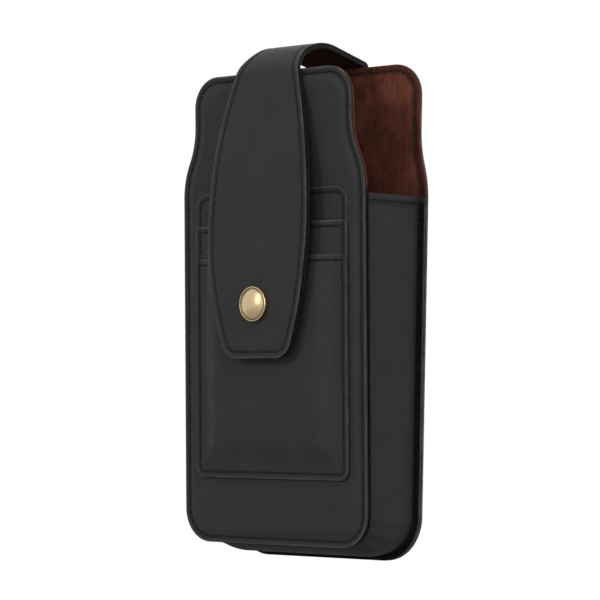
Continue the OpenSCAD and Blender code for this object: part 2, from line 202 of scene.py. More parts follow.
def plan(across: Vector, along: Vector, foot: Vector) -> Matrix:
    """Builds the change from a drawing to space.

    Args:
        across: Direction of the drawing's X axis.
        along: Direction of its Y axis.
        foot: Place of its origin.

    Returns:
        The change, with the drawing's Z axis as the layer's good side.
    """
    turned = Matrix((across, along, across.cross(along))).transposed().to_4x4()
    return Matrix.Translation(foot) @ turned


CUT = Cut()


class Pen:
    """Draws a line of edges in the XY plane of a bmesh."""

    def __init__(self, bm: Mesh, start: Point) -> None:
        """Puts the pen down.

        Args:
            bm: The mesh to draw in.
            start: Where the line starts.
        """
        self.bm = bm
        self.first_edge = len(bm.edges)
        self.first_vert = len(bm.verts)
        self.tip = bm.verts.new((start[0], start[1], 0))

    def line(self, end: Point, pitch: float = 6.0, cuts: int = 0) -> "Pen":
        """Draws a straight run.

        Args:
            end: Where the run ends.
            pitch: Greatest length of its edges.
            cuts: Number of its edges, where that is given.

        Returns:
            The pen.
        """
        run = Vector((end[0], end[1], 0)) - self.tip.co
        count = cuts or max(1, math.ceil(run.length / pitch))
        for _ in range(count if run.length > 1e-6 else 0):
            made = bmesh.ops.extrude_vert_indiv(self.bm, verts=[self.tip])
            self.tip = made["verts"][0]
            bmesh.ops.translate(self.bm, verts=[self.tip], vec=run / count)
        return self

    def arc(self, centre: Point, degrees: float, steps: int) -> "Pen":
        """Draws an arc.

        Args:
            centre: The arc's centre.
            degrees: The angle that it turns, left turns above 0.
            steps: Number of its edges.

        Returns:
            The pen.
        """
        made = bmesh.ops.spin(
            self.bm,
            geom=[self.tip],
            cent=(centre[0], centre[1], 0),
            axis=(0, 0, 1),
            angle=math.radians(degrees),
            steps=steps,
            use_duplicate=False,
        )
        self.tip = next(g for g in made["geom_last"] if isinstance(g, bmesh.types.BMVert))
        return self

    def edges(self) -> list[bmesh.types.BMEdge]:
        """Returns the edges drawn so far."""
        self.bm.edges.ensure_lookup_table()
        return self.bm.edges[self.first_edge :]

    def verts(self) -> list[bmesh.types.BMVert]:
        """Returns the points drawn so far."""
        self.bm.verts.ensure_lookup_table()
        return self.bm.verts[self.first_vert :]


class Layer:
    """A sheet of material, drawn flat in millimetres with its good side up."""

    def __init__(self) -> None:
        """Starts an empty drawing."""
        self.bm = bmesh.new()
        self.mark = self.bm.faces.layers.int.new("middle")
        # Mask for painted shade in seam grooves and folds, and for edge ink.
        self.shade_and_stain = self.bm.verts.layers.float.new("seam")

    def middle(self) -> list[bmesh.types.BMFace]:
        """Returns the faces inside the last ring."""
        return [f for f in self.bm.faces if f[self.mark]]

    def mirror_and_fill(self) -> None:
        """Completes a right half with its mirror image and fills the outline."""
        half = self.bm.verts[:] + self.bm.edges[:]
        bmesh.ops.mirror(self.bm, geom=half, matrix=Matrix(), merge_dist=SAME_PLACE, axis="X")
        bmesh.ops.remove_doubles(self.bm, verts=self.bm.verts, dist=SAME_PLACE)
        face = bmesh.ops.edgeloop_fill(self.bm, edges=self.bm.edges)["faces"][0]
        face.normal_update()
        if face.normal.z < 0:
            bmesh.ops.reverse_faces(self.bm, faces=[face])
        face[self.mark] = 1

    def emboss(
        self, steps: Sequence[Step], seam_at: float = 0.0, radii: Sequence[float] = ()
    ) -> list[Vector]:
        """Sets the middle in, ring by ring.

        Args:
            steps: Each ring's distance from the edge and height.
            seam_at: Distance from the edge of the ring on which thread lies.
            radii: Radii of corners that are smaller than the last ring's distance. The
                corner's points meet there.

        Returns:
            The points of the seam's ring.
        """
        seam: list[Vector] = []
        last = (0.0, 0.0)
        for inset, height in with_corners(steps, radii):
            made = bmesh.ops.inset_region(
                self.bm,
                faces=self.middle(),
                use_boundary=True,
                use_even_offset=True,
                thickness=inset - last[0],
                depth=height - last[1],
            )
            for face in made["faces"]:
                face[self.mark] = 0
            last = (inset, height)
            ring = self.middle()[0]
            if inset in radii:
                bmesh.ops.remove_doubles(self.bm, verts=ring.verts[:], dist=0.1 * inset)
                ring = self.middle()[0]
            # Paints shade into the seam's groove, fading within SEAM_REACH of it.
            for vert in ring.verts:
                vert[self.shade_and_stain] = max(0.0, 1 - abs(inset - seam_at) / SEAM_REACH)
            if abs(inset - seam_at) < 1e-6:
                seam = [v.co.copy() for v in ring.verts]
        return seam

    def ink_and_shade_edge(self, depth: float = 1.5, below: float = math.inf) -> None:
        """Marks the layer's edge as dark: edge ink, with painted shade where the edge is tucked in.

        Args:
            depth: How dark it is.
            below: Height at which the dark edge ends.
        """
        rim = [v for v in self.bm.verts if v.is_boundary and v.co.y < below]
        near = {e.other_vert(v) for v in rim for e in v.link_edges}
        for vert in near:
            vert[self.shade_and_stain] = 0.6 * depth
        for vert in rim:
            vert[self.shade_and_stain] = depth

    def rule(self, axis: int, places: Iterable[float], whole: bool = False) -> None:
        """Cuts the layer across at several places, so that it can bend there.

        Args:
            axis: 0 to cut at places along X and 1 along Y.
            places: Where to cut.
            whole: Whether to cut the rings as well as the middle.
        """
        normal = Vector((1, 0, 0)) if axis == 0 else Vector((0, 1, 0))
        for place in places:
            self._cut(self.bm.faces[:] if whole else self.middle(), normal * place, normal, False)

    def _cut(
        self, faces: Sequence[bmesh.types.BMFace], point: Vector, normal: Vector, clear: bool
    ) -> None:
        """Cuts faces along a plane.

        Args:
            faces: What is cut.
            point: A point of the plane.
            normal: The plane's normal.
            clear: Whether what lies beyond the plane goes.
        """
        edges = dict.fromkeys(e for f in faces for e in f.edges)
        verts = dict.fromkeys(v for f in faces for v in f.verts)
        bmesh.ops.bisect_plane(
            self.bm,
            geom=[*faces, *edges, *verts],
            dist=ON_THE_CUT,
            plane_co=point,
            plane_no=normal,
            clear_outer=clear,
        )

    def trim_top(self, height: float, corner_r: float) -> None:
        """Cuts everything above a height away and rounds the two corners.

        Args:
            height: Where the free edge is.
            corner_r: Radius of its corners.
        """
        self._cut(self.bm.faces[:], Vector((0, height, 0)), Vector((0, 1, 0)), True)
        half_w = max(v.co.x for v in self.bm.verts)
        for side in (1, -1):
            centre = Vector((side * (half_w - corner_r), height - corner_r, 0))
            for k in range(4):
                a = math.radians(12 + 22 * k)
                out = Vector((side * math.cos(a), math.sin(a), 0))
                self._cut(self.bm.faces[:], centre + corner_r * out, out, True)

    def shape(self, move: Placer) -> None:
        """Moves every point by a function of its place."""
        for vert in self.bm.verts:
            vert.co = move(vert.co)


def with_corners(steps: Sequence[Step], radii: Sequence[float]) -> list[Step]:
    """Adds the rings at which small corners close.

    Args:
        steps: Each ring's distance from the edge and height.
        radii: The corners' radii.

    Returns:
        All rings in order.
    """
    rings = [(0.0, 0.0), *steps]
    for r in radii:
        for (a, low), (b, high) in zip(rings, rings[1:]):
            if a < r < b:
                rings.append((r, low + (high - low) * (r - a) / (b - a)))
                break
        rings.sort()
    return rings[1:]


def rounded_plate(layer: Layer, half_w: float, low: float, top: float, radii: Pair) -> None:
    """Draws a plate with round corners and fills it.

    Args:
        layer: The layer to draw in.
        half_w: Half its width.
        low: Height of its lower edge.
        top: Height of its upper edge.
        radii: Radius of its lower and its upper corners.
    """
    low_r, top_r = radii
    pen = Pen(layer.bm, (0, low))
    pen.line((half_w - low_r, low)).arc((half_w - low_r, low + low_r), 90, 8)
    pen.line((half_w, top - top_r)).arc((half_w - top_r, top - top_r), 90, 8)
    pen.line((0, top))
    layer.mirror_and_fill()


def spread(low: float, high: float, pitch: float) -> list[float]:
    """Returns evenly spread places between two ends, which are left out."""
    count = max(1, round((high - low) / pitch))
    return [low + (high - low) * k / count for k in range(1, count)]


def share_of(part: float, whole: float) -> float:
    """Returns a part's share of a whole, kept between 0 and 1."""
    return min(1.0, max(0.0, part / whole))


def hang(name: str, data: bpy.types.ID) -> Piece:
    """Puts a mesh, a lamp or a camera into the scene as an object and returns it."""
    made = bpy.data.objects.new(name, data)
    bpy.context.scene.collection.objects.link(made)
    return made


# ---- finishes


class Graph:
    """Adds nodes to one tree and joins them."""

    def __init__(self, tree: NodeTree) -> None:
        """Takes the tree to build in."""
        self.tree = tree

    def feed(self, node: Node, inputs: dict[str | int, object]) -> Node:
        """Links or sets a node's inputs.

        Args:
            node: The node.
            inputs: Sockets or values, by the inputs' names or numbers.

        Returns:
            The node.
        """
        for key, value in inputs.items():
            socket = node.inputs[key]
            if isinstance(value, Socket):
                self.tree.links.new(value, socket)
            else:
                socket.default_value = (*value[:3], 1) if socket.type == "RGBA" else value
        return node

    def add(
        self,
        kind: str,
        settings: dict[str, object] | None = None,
        at: Sequence[object] = (),
        **inputs: object,
    ) -> Node:
        """Adds a node.

        Args:
            kind: The node's type, without its ShaderNode.
            settings: Its own properties.
            at: Values or sockets for its inputs in order.
            **inputs: The same by name, with underscores for spaces.

        Returns:
            The node.
        """
        node = self.tree.nodes.new("ShaderNode" + kind)
        for key, value in (settings or {}).items():
            setattr(node, key, value)
        named = {key.replace("_", " "): value for key, value in inputs.items()}
        return self.feed(node, {**dict(enumerate(at)), **named})

    def effect(self, tree: NodeTree, **inputs: float) -> Sequence[Socket]:
        """Places a shared effect with its values by name, and returns its outputs."""
        return self.feed(self.add("Group", {"node_tree": tree}), inputs).outputs

    def sum(self, operation: str, *values: object) -> Socket:
        """Returns the result of a Math node on the given values or sockets."""
        return self.add("Math", {"operation": operation}, values).outputs[0]

    def vector(self, operation: str, *values: object, **inputs: object) -> Socket:
        """Returns the vector that a Vector Math node makes of its inputs."""
        return self.add("VectorMath", {"operation": operation}, values, **inputs).outputs[0]

    def noise(
        self, space: Socket, scale: float, detail: float, roughness: float = 0.5
    ) -> Sequence[Socket]:
        """Returns the outputs of a Noise Texture in the given space."""
        inputs = {"Vector": space, "Scale": scale, "Detail": detail, "Roughness": roughness}
        return self.add("TexNoise", None, (), **inputs).outputs

    def blend(self, factor: object, first: object, second: object) -> Socket:
        """Returns two colours or sockets mixed, with factor as the share of the second."""
        node = self.add("Mix", {"data_type": "RGBA"})
        return self.feed(node, {0: factor, 6: first, 7: second}).outputs[2]

    def between(
        self, value: object, low: float, high: float, start: float = 0.0, end: float = 1.0
    ) -> Socket:
        """Returns a value that runs from start to end, stretched to run from low to high."""
        return self.add("MapRange", None, (value, start, end, low, high)).outputs[0]

    def object_space(self, *sizes: Socket) -> Socket:
        """Scales object coordinates.

        Args:
            *sizes: One or three sizes in millimetres that count as one step.

        Returns:
            The scaled coordinates.
        """
        place = self.add("TexCoord").outputs["Object"]
        steps = [self.sum("DIVIDE", 1.0 / MM, size) for size in sizes]
        if len(steps) == 1:
            return self.vector("SCALE", place, Scale=steps[0])
        return self.vector("MULTIPLY", place, self.add("CombineXYZ", None, steps).outputs[0])


def start_group(
    name: str, inputs: dict[str, float], outputs: Sequence[str]
) -> tuple[Graph, Sequence[Socket], Node]:
    """Starts a shared effect.

    Args:
        name: The group's name.
        inputs: Its inputs with their usual values.
        outputs: Its outputs.

    Returns:
        The group's graph, the sockets that its inputs come in by, and its output node.
    """
    tree = bpy.data.node_groups.new(name, "ShaderNodeTree")
    for label, value in inputs.items():
        socket = tree.interface.new_socket(label, in_out="INPUT", socket_type="NodeSocketFloat")
        socket.default_value = value
    for label in outputs:
        tree.interface.new_socket(label, in_out="OUTPUT", socket_type="NodeSocketFloat")
    return Graph(tree), tree.nodes.new("NodeGroupInput").outputs, tree.nodes.new("NodeGroupOutput")


class Effects:
    """The node groups that the finishes share, each built once."""

    def __init__(self) -> None:
        """Builds the groups."""
        self.pebble = self._pebble()
        self.mottle = self._mottle()
        # Mask for a painted highlight along the edges, with some edge wear.
        self.highlight_and_wear = self._marked("edge_highlight_and_wear", "highlight_and_wear", (0.6, 2.5), (4.0, 0.6), (0.35, 1.0, 0.4, 0.6))
        # Mask for painted shade in seams and folds, edge ink on linings and the brass cap's dark groove.
        self.seam = self._marked(
            "painted_shade_and_stain", "seam", (0.8, 1.2), (2.0, 0.5), (0.75, 1.0, 0.3, 0.7)
        )
        self.nap = self._nap()

    def _pebble(self) -> NodeTree:
        """Builds the fine pebble grain of pressed leather.

        Returns:
            The group.
        """
        graph, source, sink = start_group("pebble_grain", {"Size": 0.4}, ["Height"])
        space = graph.object_space(source["Size"])
        wobble = graph.noise(space, scale=0.7, detail=1.0)["Color"]
        shifted = graph.vector("MULTIPLY_ADD", wobble, (0.6,) * 3, space)
        cells = graph.add(
            "TexVoronoi", {"feature": "SMOOTH_F1"}, (), Vector=shifted, Scale=1.0, Smoothness=0.35
        )
        fine = graph.noise(space, scale=3.0, detail=2.0)["Fac"]
        dome = graph.sum("SUBTRACT", 1.0, graph.sum("MULTIPLY", cells.outputs["Distance"], 1.1))
        graph.feed(sink, {"Height": graph.sum("MULTIPLY_ADD", fine, 0.22, dome)})
        return graph.tree

    def _mottle(self) -> NodeTree:
        """Builds slow cloudy variation.

        Returns:
            The group.
        """
        graph, source, sink = start_group("mottle", {"Size": 12.0}, ["Value"])
        space = graph.object_space(source["Size"])
        cloud = graph.noise(space, scale=1.0, detail=3.0, roughness=0.55)["Fac"]
        graph.feed(sink, {"Value": graph.between(cloud, 0.0, 1.0, 0.3, 0.7)})
        return graph.tree

    def _marked(
        self,
        name: str,
        attribute: str,
        usual: Pair,
        noise: Pair,
        broken: tuple[float, float, float, float],
    ) -> NodeTree:
        """Builds the broken mask of what a piece's own attribute marks.

        Args:
            name: The group's name.
            attribute: The attribute.
            usual: The group's usual amount and size.
            noise: Detail and roughness of the noise that breaks the mask.
            broken: The least and greatest share that is left, and the noise's range for them.

        Returns:
            The group.
        """
        inputs = dict(zip(("Amount", "Size"), usual))
        graph, source, sink = start_group(name, inputs, ["Mask"])
        patch = graph.noise(graph.object_space(source["Size"]), 1.0, *noise)["Fac"]
        line = graph.add("Attribute", {"attribute_name": attribute}).outputs["Fac"]
        left = graph.sum("MULTIPLY", line, graph.between(patch, *broken))
        graph.feed(sink, {"Mask": graph.sum("MULTIPLY", left, source["Amount"])})
        return graph.tree

    def _nap(self) -> NodeTree:
        """Builds the brushed streaks of suede cloth.

        Returns:
            The group.
        """
        graph, source, sink = start_group(
            "brushed_nap", {"Size": 1.6, "Length": 14.0}, ["Shade", "Height"]
        )
        space = graph.object_space(source["Size"], source["Size"], source["Length"])
        streak = graph.noise(space, scale=1.0, detail=4.0, roughness=0.6)["Fac"]
        fibre = graph.noise(space, scale=9.0, detail=3.0, roughness=0.7)["Fac"]
        both = graph.sum("MULTIPLY_ADD", fibre, 0.35, streak)
        graph.feed(sink, {"Shade": graph.between(both, 0.0, 1.0, 0.45, 0.95), "Height": fibre})
        return graph.tree


EFFECTS = Effects()
Pattern = Callable[[Graph], tuple[Socket, Socket, Socket]]


def grained(graph: Graph) -> tuple[Socket, Socket, Socket]:
    """Lays the pattern of pressed leather.

    Args:
        graph: The material's graph.

    Returns:
        The sockets of the colour, the gloss and the height.
    """
    colour = graph.effect(EFFECTS.mottle, Size=14.0)["Value"]
    gloss = graph.effect(EFFECTS.mottle, Size=5.0)["Value"]
    return colour, gloss, graph.effect(EFFECTS.pebble, Size=0.42)["Height"]


def painted(graph: Graph) -> tuple[Socket, Socket, Socket]:
    """Returns the colour, the gloss and the height pattern of brushed-on paint."""
    return (graph.effect(EFFECTS.mottle, Size=1.8)["Value"],) * 3


def plated(graph: Graph) -> tuple[Socket, Socket, Socket]:
    """Lays the pattern of plated metal.

    Args:
        graph: The material's graph.

    Returns:
        The sockets of the colour, the gloss and the height.
    """
    cloud = graph.effect(EFFECTS.mottle, Size=3.5)["Value"]
    fine = graph.effect(EFFECTS.mottle, Size=0.5)["Value"]
    return graph.sum("MULTIPLY", cloud, 0.4), cloud, fine


def brushed(size: float, length: float, clouds: float = 0.0) -> Pattern:
    """Gives the pattern of something with fibres.

    Args:
        size: Width of its streaks in millimetres.
        length: Their length.
        clouds: Size of slow patches in its colour, or 0 for none.

    Returns:
        The pattern.
    """

    def pattern(graph: Graph) -> tuple[Socket, Socket, Socket]:
        """Lays the pattern.

        Args:
            graph: The material's graph.

        Returns:
            The sockets of the colour, the gloss and the height.
        """
        nap = graph.effect(EFFECTS.nap, Size=size, Length=length)
        colour = nap["Shade"]
        if clouds:
            cloud = graph.effect(EFFECTS.mottle, Size=clouds)["Value"]
            half = graph.sum("MULTIPLY", nap["Shade"], 0.45)
            colour = graph.sum("MULTIPLY_ADD", cloud, 0.45, half)
        return colour, nap["Shade"], nap["Height"]

    return pattern


def start_material(name: str) -> tuple[Material, Graph, Node]:
    """Starts a material.

    Args:
        name: Its name.

    Returns:
        The material, its graph and its Principled shader.
    """
    material = bpy.data.materials.new(name)
    material.use_nodes = True
    return material, Graph(material.node_tree), material.node_tree.nodes["Principled BSDF"]


@dataclass(frozen=True)
class Finish:
    """Two colours in a pattern, with painted edge highlights and wear, dark marks of painted shade and
    stain, and a relief in millimetres.
    """

    name: str
    ground: Colour
    patches: Colour
    smooth: Pair
    relief: float
    pattern: Pattern
    highlight_and_wear_colour: Colour | None = None
    highlight_and_wear_reach: Pair = (0.75, 9.0)
    shade_and_stain: Colour | None = None
    shade_and_stain_amount: float = 0.85
    specular: float = 0.5
    sheen: float = 0.0
    metallic: float = 0.0

    def build(self) -> Material:
        """Builds the finish's nodes.

        Returns:
            The finished material.
        """
        material, graph, shader = start_material(self.name)
        colour, gloss, height = self.pattern(graph)
        body = graph.blend(colour, self.ground, self.patches)
        # Lightens the marked edges: a painted highlight, with some edge wear.
        if self.highlight_and_wear_colour:
            highlight_and_wear = graph.effect(EFFECTS.highlight_and_wear, Amount=self.highlight_and_wear_reach[0], Size=self.highlight_and_wear_reach[1])["Mask"]
            body = graph.blend(highlight_and_wear, body, self.highlight_and_wear_colour)
        # Darkens what is marked: painted shade in seams and folds, edge ink on linings, the brass cap's
        # groove.
        if self.shade_and_stain:
            seam = graph.effect(EFFECTS.seam, Amount=self.shade_and_stain_amount)["Mask"]
            body = graph.blend(seam, body, self.shade_and_stain)
        bump = graph.add("Bump", None, (), Height=height, Distance=self.relief * MM, Strength=1.0)
        looks = {
            "Base Color": body,
            "Roughness": graph.between(gloss, *self.smooth),
            "Normal": bump.outputs["Normal"],
            "Metallic": self.metallic,
            "Specular IOR Level": self.specular,
            "Sheen Weight": self.sheen,
            "Sheen Roughness": 0.4,
        }
        graph.feed(shader, looks)
        return material


# The leathers' edge colour is a painted highlight with some wear; their seam colour is painted shade.
LEATHER = Finish(
    "black_leather", (0.024, 0.024, 0.0245), (0.0275, 0.0275, 0.028), (0.54, 0.64), 0.03, grained,
    highlight_and_wear_colour=(0.095, 0.094, 0.092), shade_and_stain=(0.004, 0.004, 0.0042), specular=0.1, sheen=0.04,
)
SOFT_LEATHER = replace(
    LEATHER, name="soft_leather", highlight_and_wear_colour=(0.055, 0.055, 0.054), smooth=(0.62, 0.74),
    specular=0.04, sheen=0.0,
)
EDGE_PAINT = Finish(
    "edge_paint", (0.004, 0.004, 0.0042), (0.011, 0.0108, 0.0108), (0.45, 0.6), 0.05, painted,
    specular=0.08,
)
SUEDE = Finish(
    "brown_lining", (0.036, 0.0113, 0.0065), (0.156, 0.052, 0.035), (0.95, 0.82), 0.12,
    brushed(1.0, 5.0, 9.0), shade_and_stain=(0.005, 0.0045, 0.0045), shade_and_stain_amount=1.0, specular=0.05,
)
THREAD = Finish(
    "black_thread", (0.004, 0.004, 0.0042), (0.012, 0.012, 0.0125), (0.7, 0.55), 0.05,
    brushed(0.16, 0.5), specular=0.15,
)
BRASS = Finish(
    "polished_brass", (0.62, 0.48, 0.285), (0.44, 0.33, 0.17), (0.24, 0.34), 0.002, plated,
    highlight_and_wear_colour=(0.44, 0.33, 0.17), highlight_and_wear_reach=(0.8, 1.5), shade_and_stain=(0.07, 0.04, 0.02), shade_and_stain_amount=0.9, metallic=1.0,
)
DULL_BRASS = replace(
    BRASS, name="dull_brass", ground=(0.5, 0.38, 0.22), patches=(0.3, 0.21, 0.12),
    highlight_and_wear_colour=(0.3, 0.21, 0.12), smooth=(0.32, 0.45),
)
BOARD = Finish(
    "stiffening_board", (0.2, 0.15, 0.1), (0.42, 0.34, 0.25), (0.95, 0.8), 0.08, brushed(0.7, 4.0)
)


class Shop:
    """The built finishes, and the last steps that turn a drawing into a piece."""

    def __init__(self) -> None:
        """Builds the finishes."""
        self.leather, self.soft_leather = LEATHER.build(), SOFT_LEATHER.build()
        self.edge, self.suede, self.thread = EDGE_PAINT.build(), SUEDE.build(), THREAD.build()
        self.brass, self.dull_brass, self.board = BRASS.build(), DULL_BRASS.build(), BOARD.build()

    def piece(
        self,
        name: str,
        bm: Mesh,
        place: Matrix,
        materials: Sequence[Material],
    ) -> Piece:
        """Makes an object of a mesh, with its place in its points.

        Args:
            name: The piece's name.
            bm: Its mesh, which is freed.
            place: The change to the row frame's metres.
            materials: Its material slots.

        Returns:
            The object.
        """
        # Marks each rim, and the ring beside it, for the painted edge highlight with some wear.
        highlight_and_wear = bm.verts.layers.float.new("highlight_and_wear")
        rim = {v for v in bm.verts if v.is_boundary}
        for vert in bm.verts:
            near = any(e.other_vert(vert) in rim for e in vert.link_edges)
            vert[highlight_and_wear] = 1.0 if vert in rim else 0.7 if near else 0.0
        for face in bm.faces:
            face.smooth = True
        mesh = bpy.data.meshes.new(name)
        bm.to_mesh(mesh)
        bm.free()
        mesh.transform(place)
        for material in materials:
            mesh.materials.append(material)
        log.info("%s: %d faces", name, len(mesh.polygons))
        return hang(name, mesh)

    def sheet(
        self,
        name: str,
        bm: Mesh,
        place: Matrix,
        materials: Sequence[Material],
        thickness: float,
        roll: float,
    ) -> Piece:
        """Makes a piece of a sheet, thick behind its good side and rolled at its edges.

        Args:
            name: The piece's name.
            bm: The sheet's mesh, which is freed.
            place: The change to the row frame's metres.
            materials: The good side's and the edge's materials.
            thickness: Its thickness in millimetres.
            roll: Rounding of its edges in millimetres.

        Returns:
            The piece.
        """
        made = self.piece(name, bm, place, materials)
        for label, kind, settings in (
            ("thickness", "SOLIDIFY", {
                "thickness": thickness * MM, "offset": -1, "use_even_offset": True,
                "use_rim": True, "material_offset": 0, "material_offset_rim": 1,
            }),
            ("rolled_edge", "BEVEL", {
                "width": roll * MM, "segments": 3, "limit_method": "ANGLE",
                "angle_limit": math.radians(SHARP_EDGE), "use_clamp_overlap": True,
            }),
            ("even_shading", "WEIGHTED_NORMAL", {"keep_sharp": True}),
        ):
            modifier = made.modifiers.new(label, kind)
            for key, value in settings.items():
                setattr(modifier, key, value)
        return made


@dataclass
class Stitching:
    """Lines of thread, sewn stitch by stitch into one mesh."""

    name: str
    pitch: float = 3.0
    length: float = 2.5
    gauge: float = 0.7
    droop: float = 0.6

    def __post_init__(self) -> None:
        """Shapes one stitch, in metres, lying along X."""
        bm = bmesh.new()
        bmesh.ops.create_uvsphere(bm, u_segments=6, v_segments=6, radius=1.0)
        bmesh.ops.rotate(bm, verts=bm.verts, matrix=Matrix.Rotation(math.pi / 2, 3, "Y"))
        for vert in bm.verts:
            x = min(1.0, abs(vert.co.x))
            if x < 0.99:
                fuller = (1 - x**4) ** 0.25 / math.sqrt(1 - x * x)
                vert.co.y *= fuller
                vert.co.z *= fuller
            vert.co.z -= self.droop * x**4
        half = Vector((self.length, self.gauge, self.gauge)) * MM / 2
        bmesh.ops.scale(bm, verts=bm.verts, vec=half)
        self.single = bpy.data.meshes.new(self.name + "_single")
        bm.to_mesh(self.single)
        bm.free()
        self.bm = bmesh.new()

    def sew(
        self,
        line: Sequence[Vector],
        place: Matrix | Placer,
        lift: float = 0.0,
        closed: bool = False,
    ) -> None:
        """Sews along a line.

        Args:
            line: Points of the line in its drawing, in millimetres.
            place: The change from the drawing to the row frame's metres.
            lift: Height of the thread over the line.
            closed: Whether the line returns to its start.
        """

        def lay(co: Vector) -> Vector:
            """Returns the place of a point drawn at the line's height."""
            raised = co + Vector((0, 0, lift))
            return place @ raised if isinstance(place, Matrix) else place(raised)

        points = [*line, line[0]] if closed else list(line)
        ends = [0.0]
        for a, b in zip(points, points[1:]):
            ends.append(ends[-1] + (b - a).length)
        count = max(1, round(ends[-1] / self.pitch))
        run = 0
        for k in range(count):
            middle = (k + 0.5) * ends[-1] / count
            while run < len(points) - 2 and ends[run + 1] < middle:
                run += 1
            share = (middle - ends[run]) / max(1e-9, ends[run + 1] - ends[run])
            centre = points[run].lerp(points[run + 1], share)
            self._stitch(centre, (points[run + 1] - points[run]).normalized(), lay)

    def _stitch(self, centre: Vector, heading: Vector, lay: Placer) -> None:
        """Lays one stitch.

        Args:
            centre: Its middle in the drawing.
            heading: Its direction there.
            lay: The change to the row frame's metres.
        """
        reach = heading * self.length / 2
        middle = lay(centre)
        along = (lay(centre + reach) - lay(centre - reach)).normalized()
        up = lay(centre + Vector((0, 0, 1))) - middle
        up = (up - along * up.dot(along)).normalized()
        whole = plan(along, up.cross(along), middle)
        self.single.transform(whole)
        self.bm.from_mesh(self.single)
        self.single.transform(whole.inverted())

    def finish(self, shop: Shop) -> Piece:
        """Returns the thread as one piece, in the row frame's metres."""
        made = shop.piece(self.name, self.bm, Matrix(), [shop.thread])
        bpy.data.meshes.remove(self.single)
        return made


def stand_in(nodes: Sequence[str]) -> None:
    """Hides the CAD nodes that a piece stands for."""
    if nodes:
        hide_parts(*nodes)


def join(made: Piece, body: Body, slot: Slot | None = None, *nodes: str) -> None:
    """Puts a piece on its body.

    Args:
        made: The piece.
        body: The body that it moves with.
        slot: Not used.
        *nodes: The CAD nodes that it stands for.
    """
    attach(made, body.value)
    stand_in(nodes)


def dress(node: str, material: Material) -> None:
    """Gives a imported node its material.

    Args:
        node: The node's name.
        material: The material.
    """
    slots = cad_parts[node].data.materials
    for k in range(len(slots)):
        slots[k] = material
    if not len(slots):
        slots.append(material)
    log.info("%s: dressed", node)


# ---- sub-assemblies

PANEL_STEPS: tuple[Step, ...] = (
    (0.3, 0.04), (0.9, 0.07), (1.5, 0.03), (1.85, -0.16), (2.15, -0.24), (2.45, -0.16),
    (2.85, 0.0), (3.5, 0.06), (4.3, 0.4), (5.1, 0.6), (6.2, 0.66),
)
LINING_STEPS: tuple[Step, ...] = (
    (0.4, 0.0), (1.8, 0.0), (2.15, -0.12), (2.5, 0.0), (3.8, 0.05), (5.0, 0.5), (6.4, 0.6),
)
PANEL_SEAM = 2.15
WALL_TOP_GAP = 4.0
TUCK_FADE = 3.0
TUCK_REACH = 3.5
RAISED_FROM = 0.5


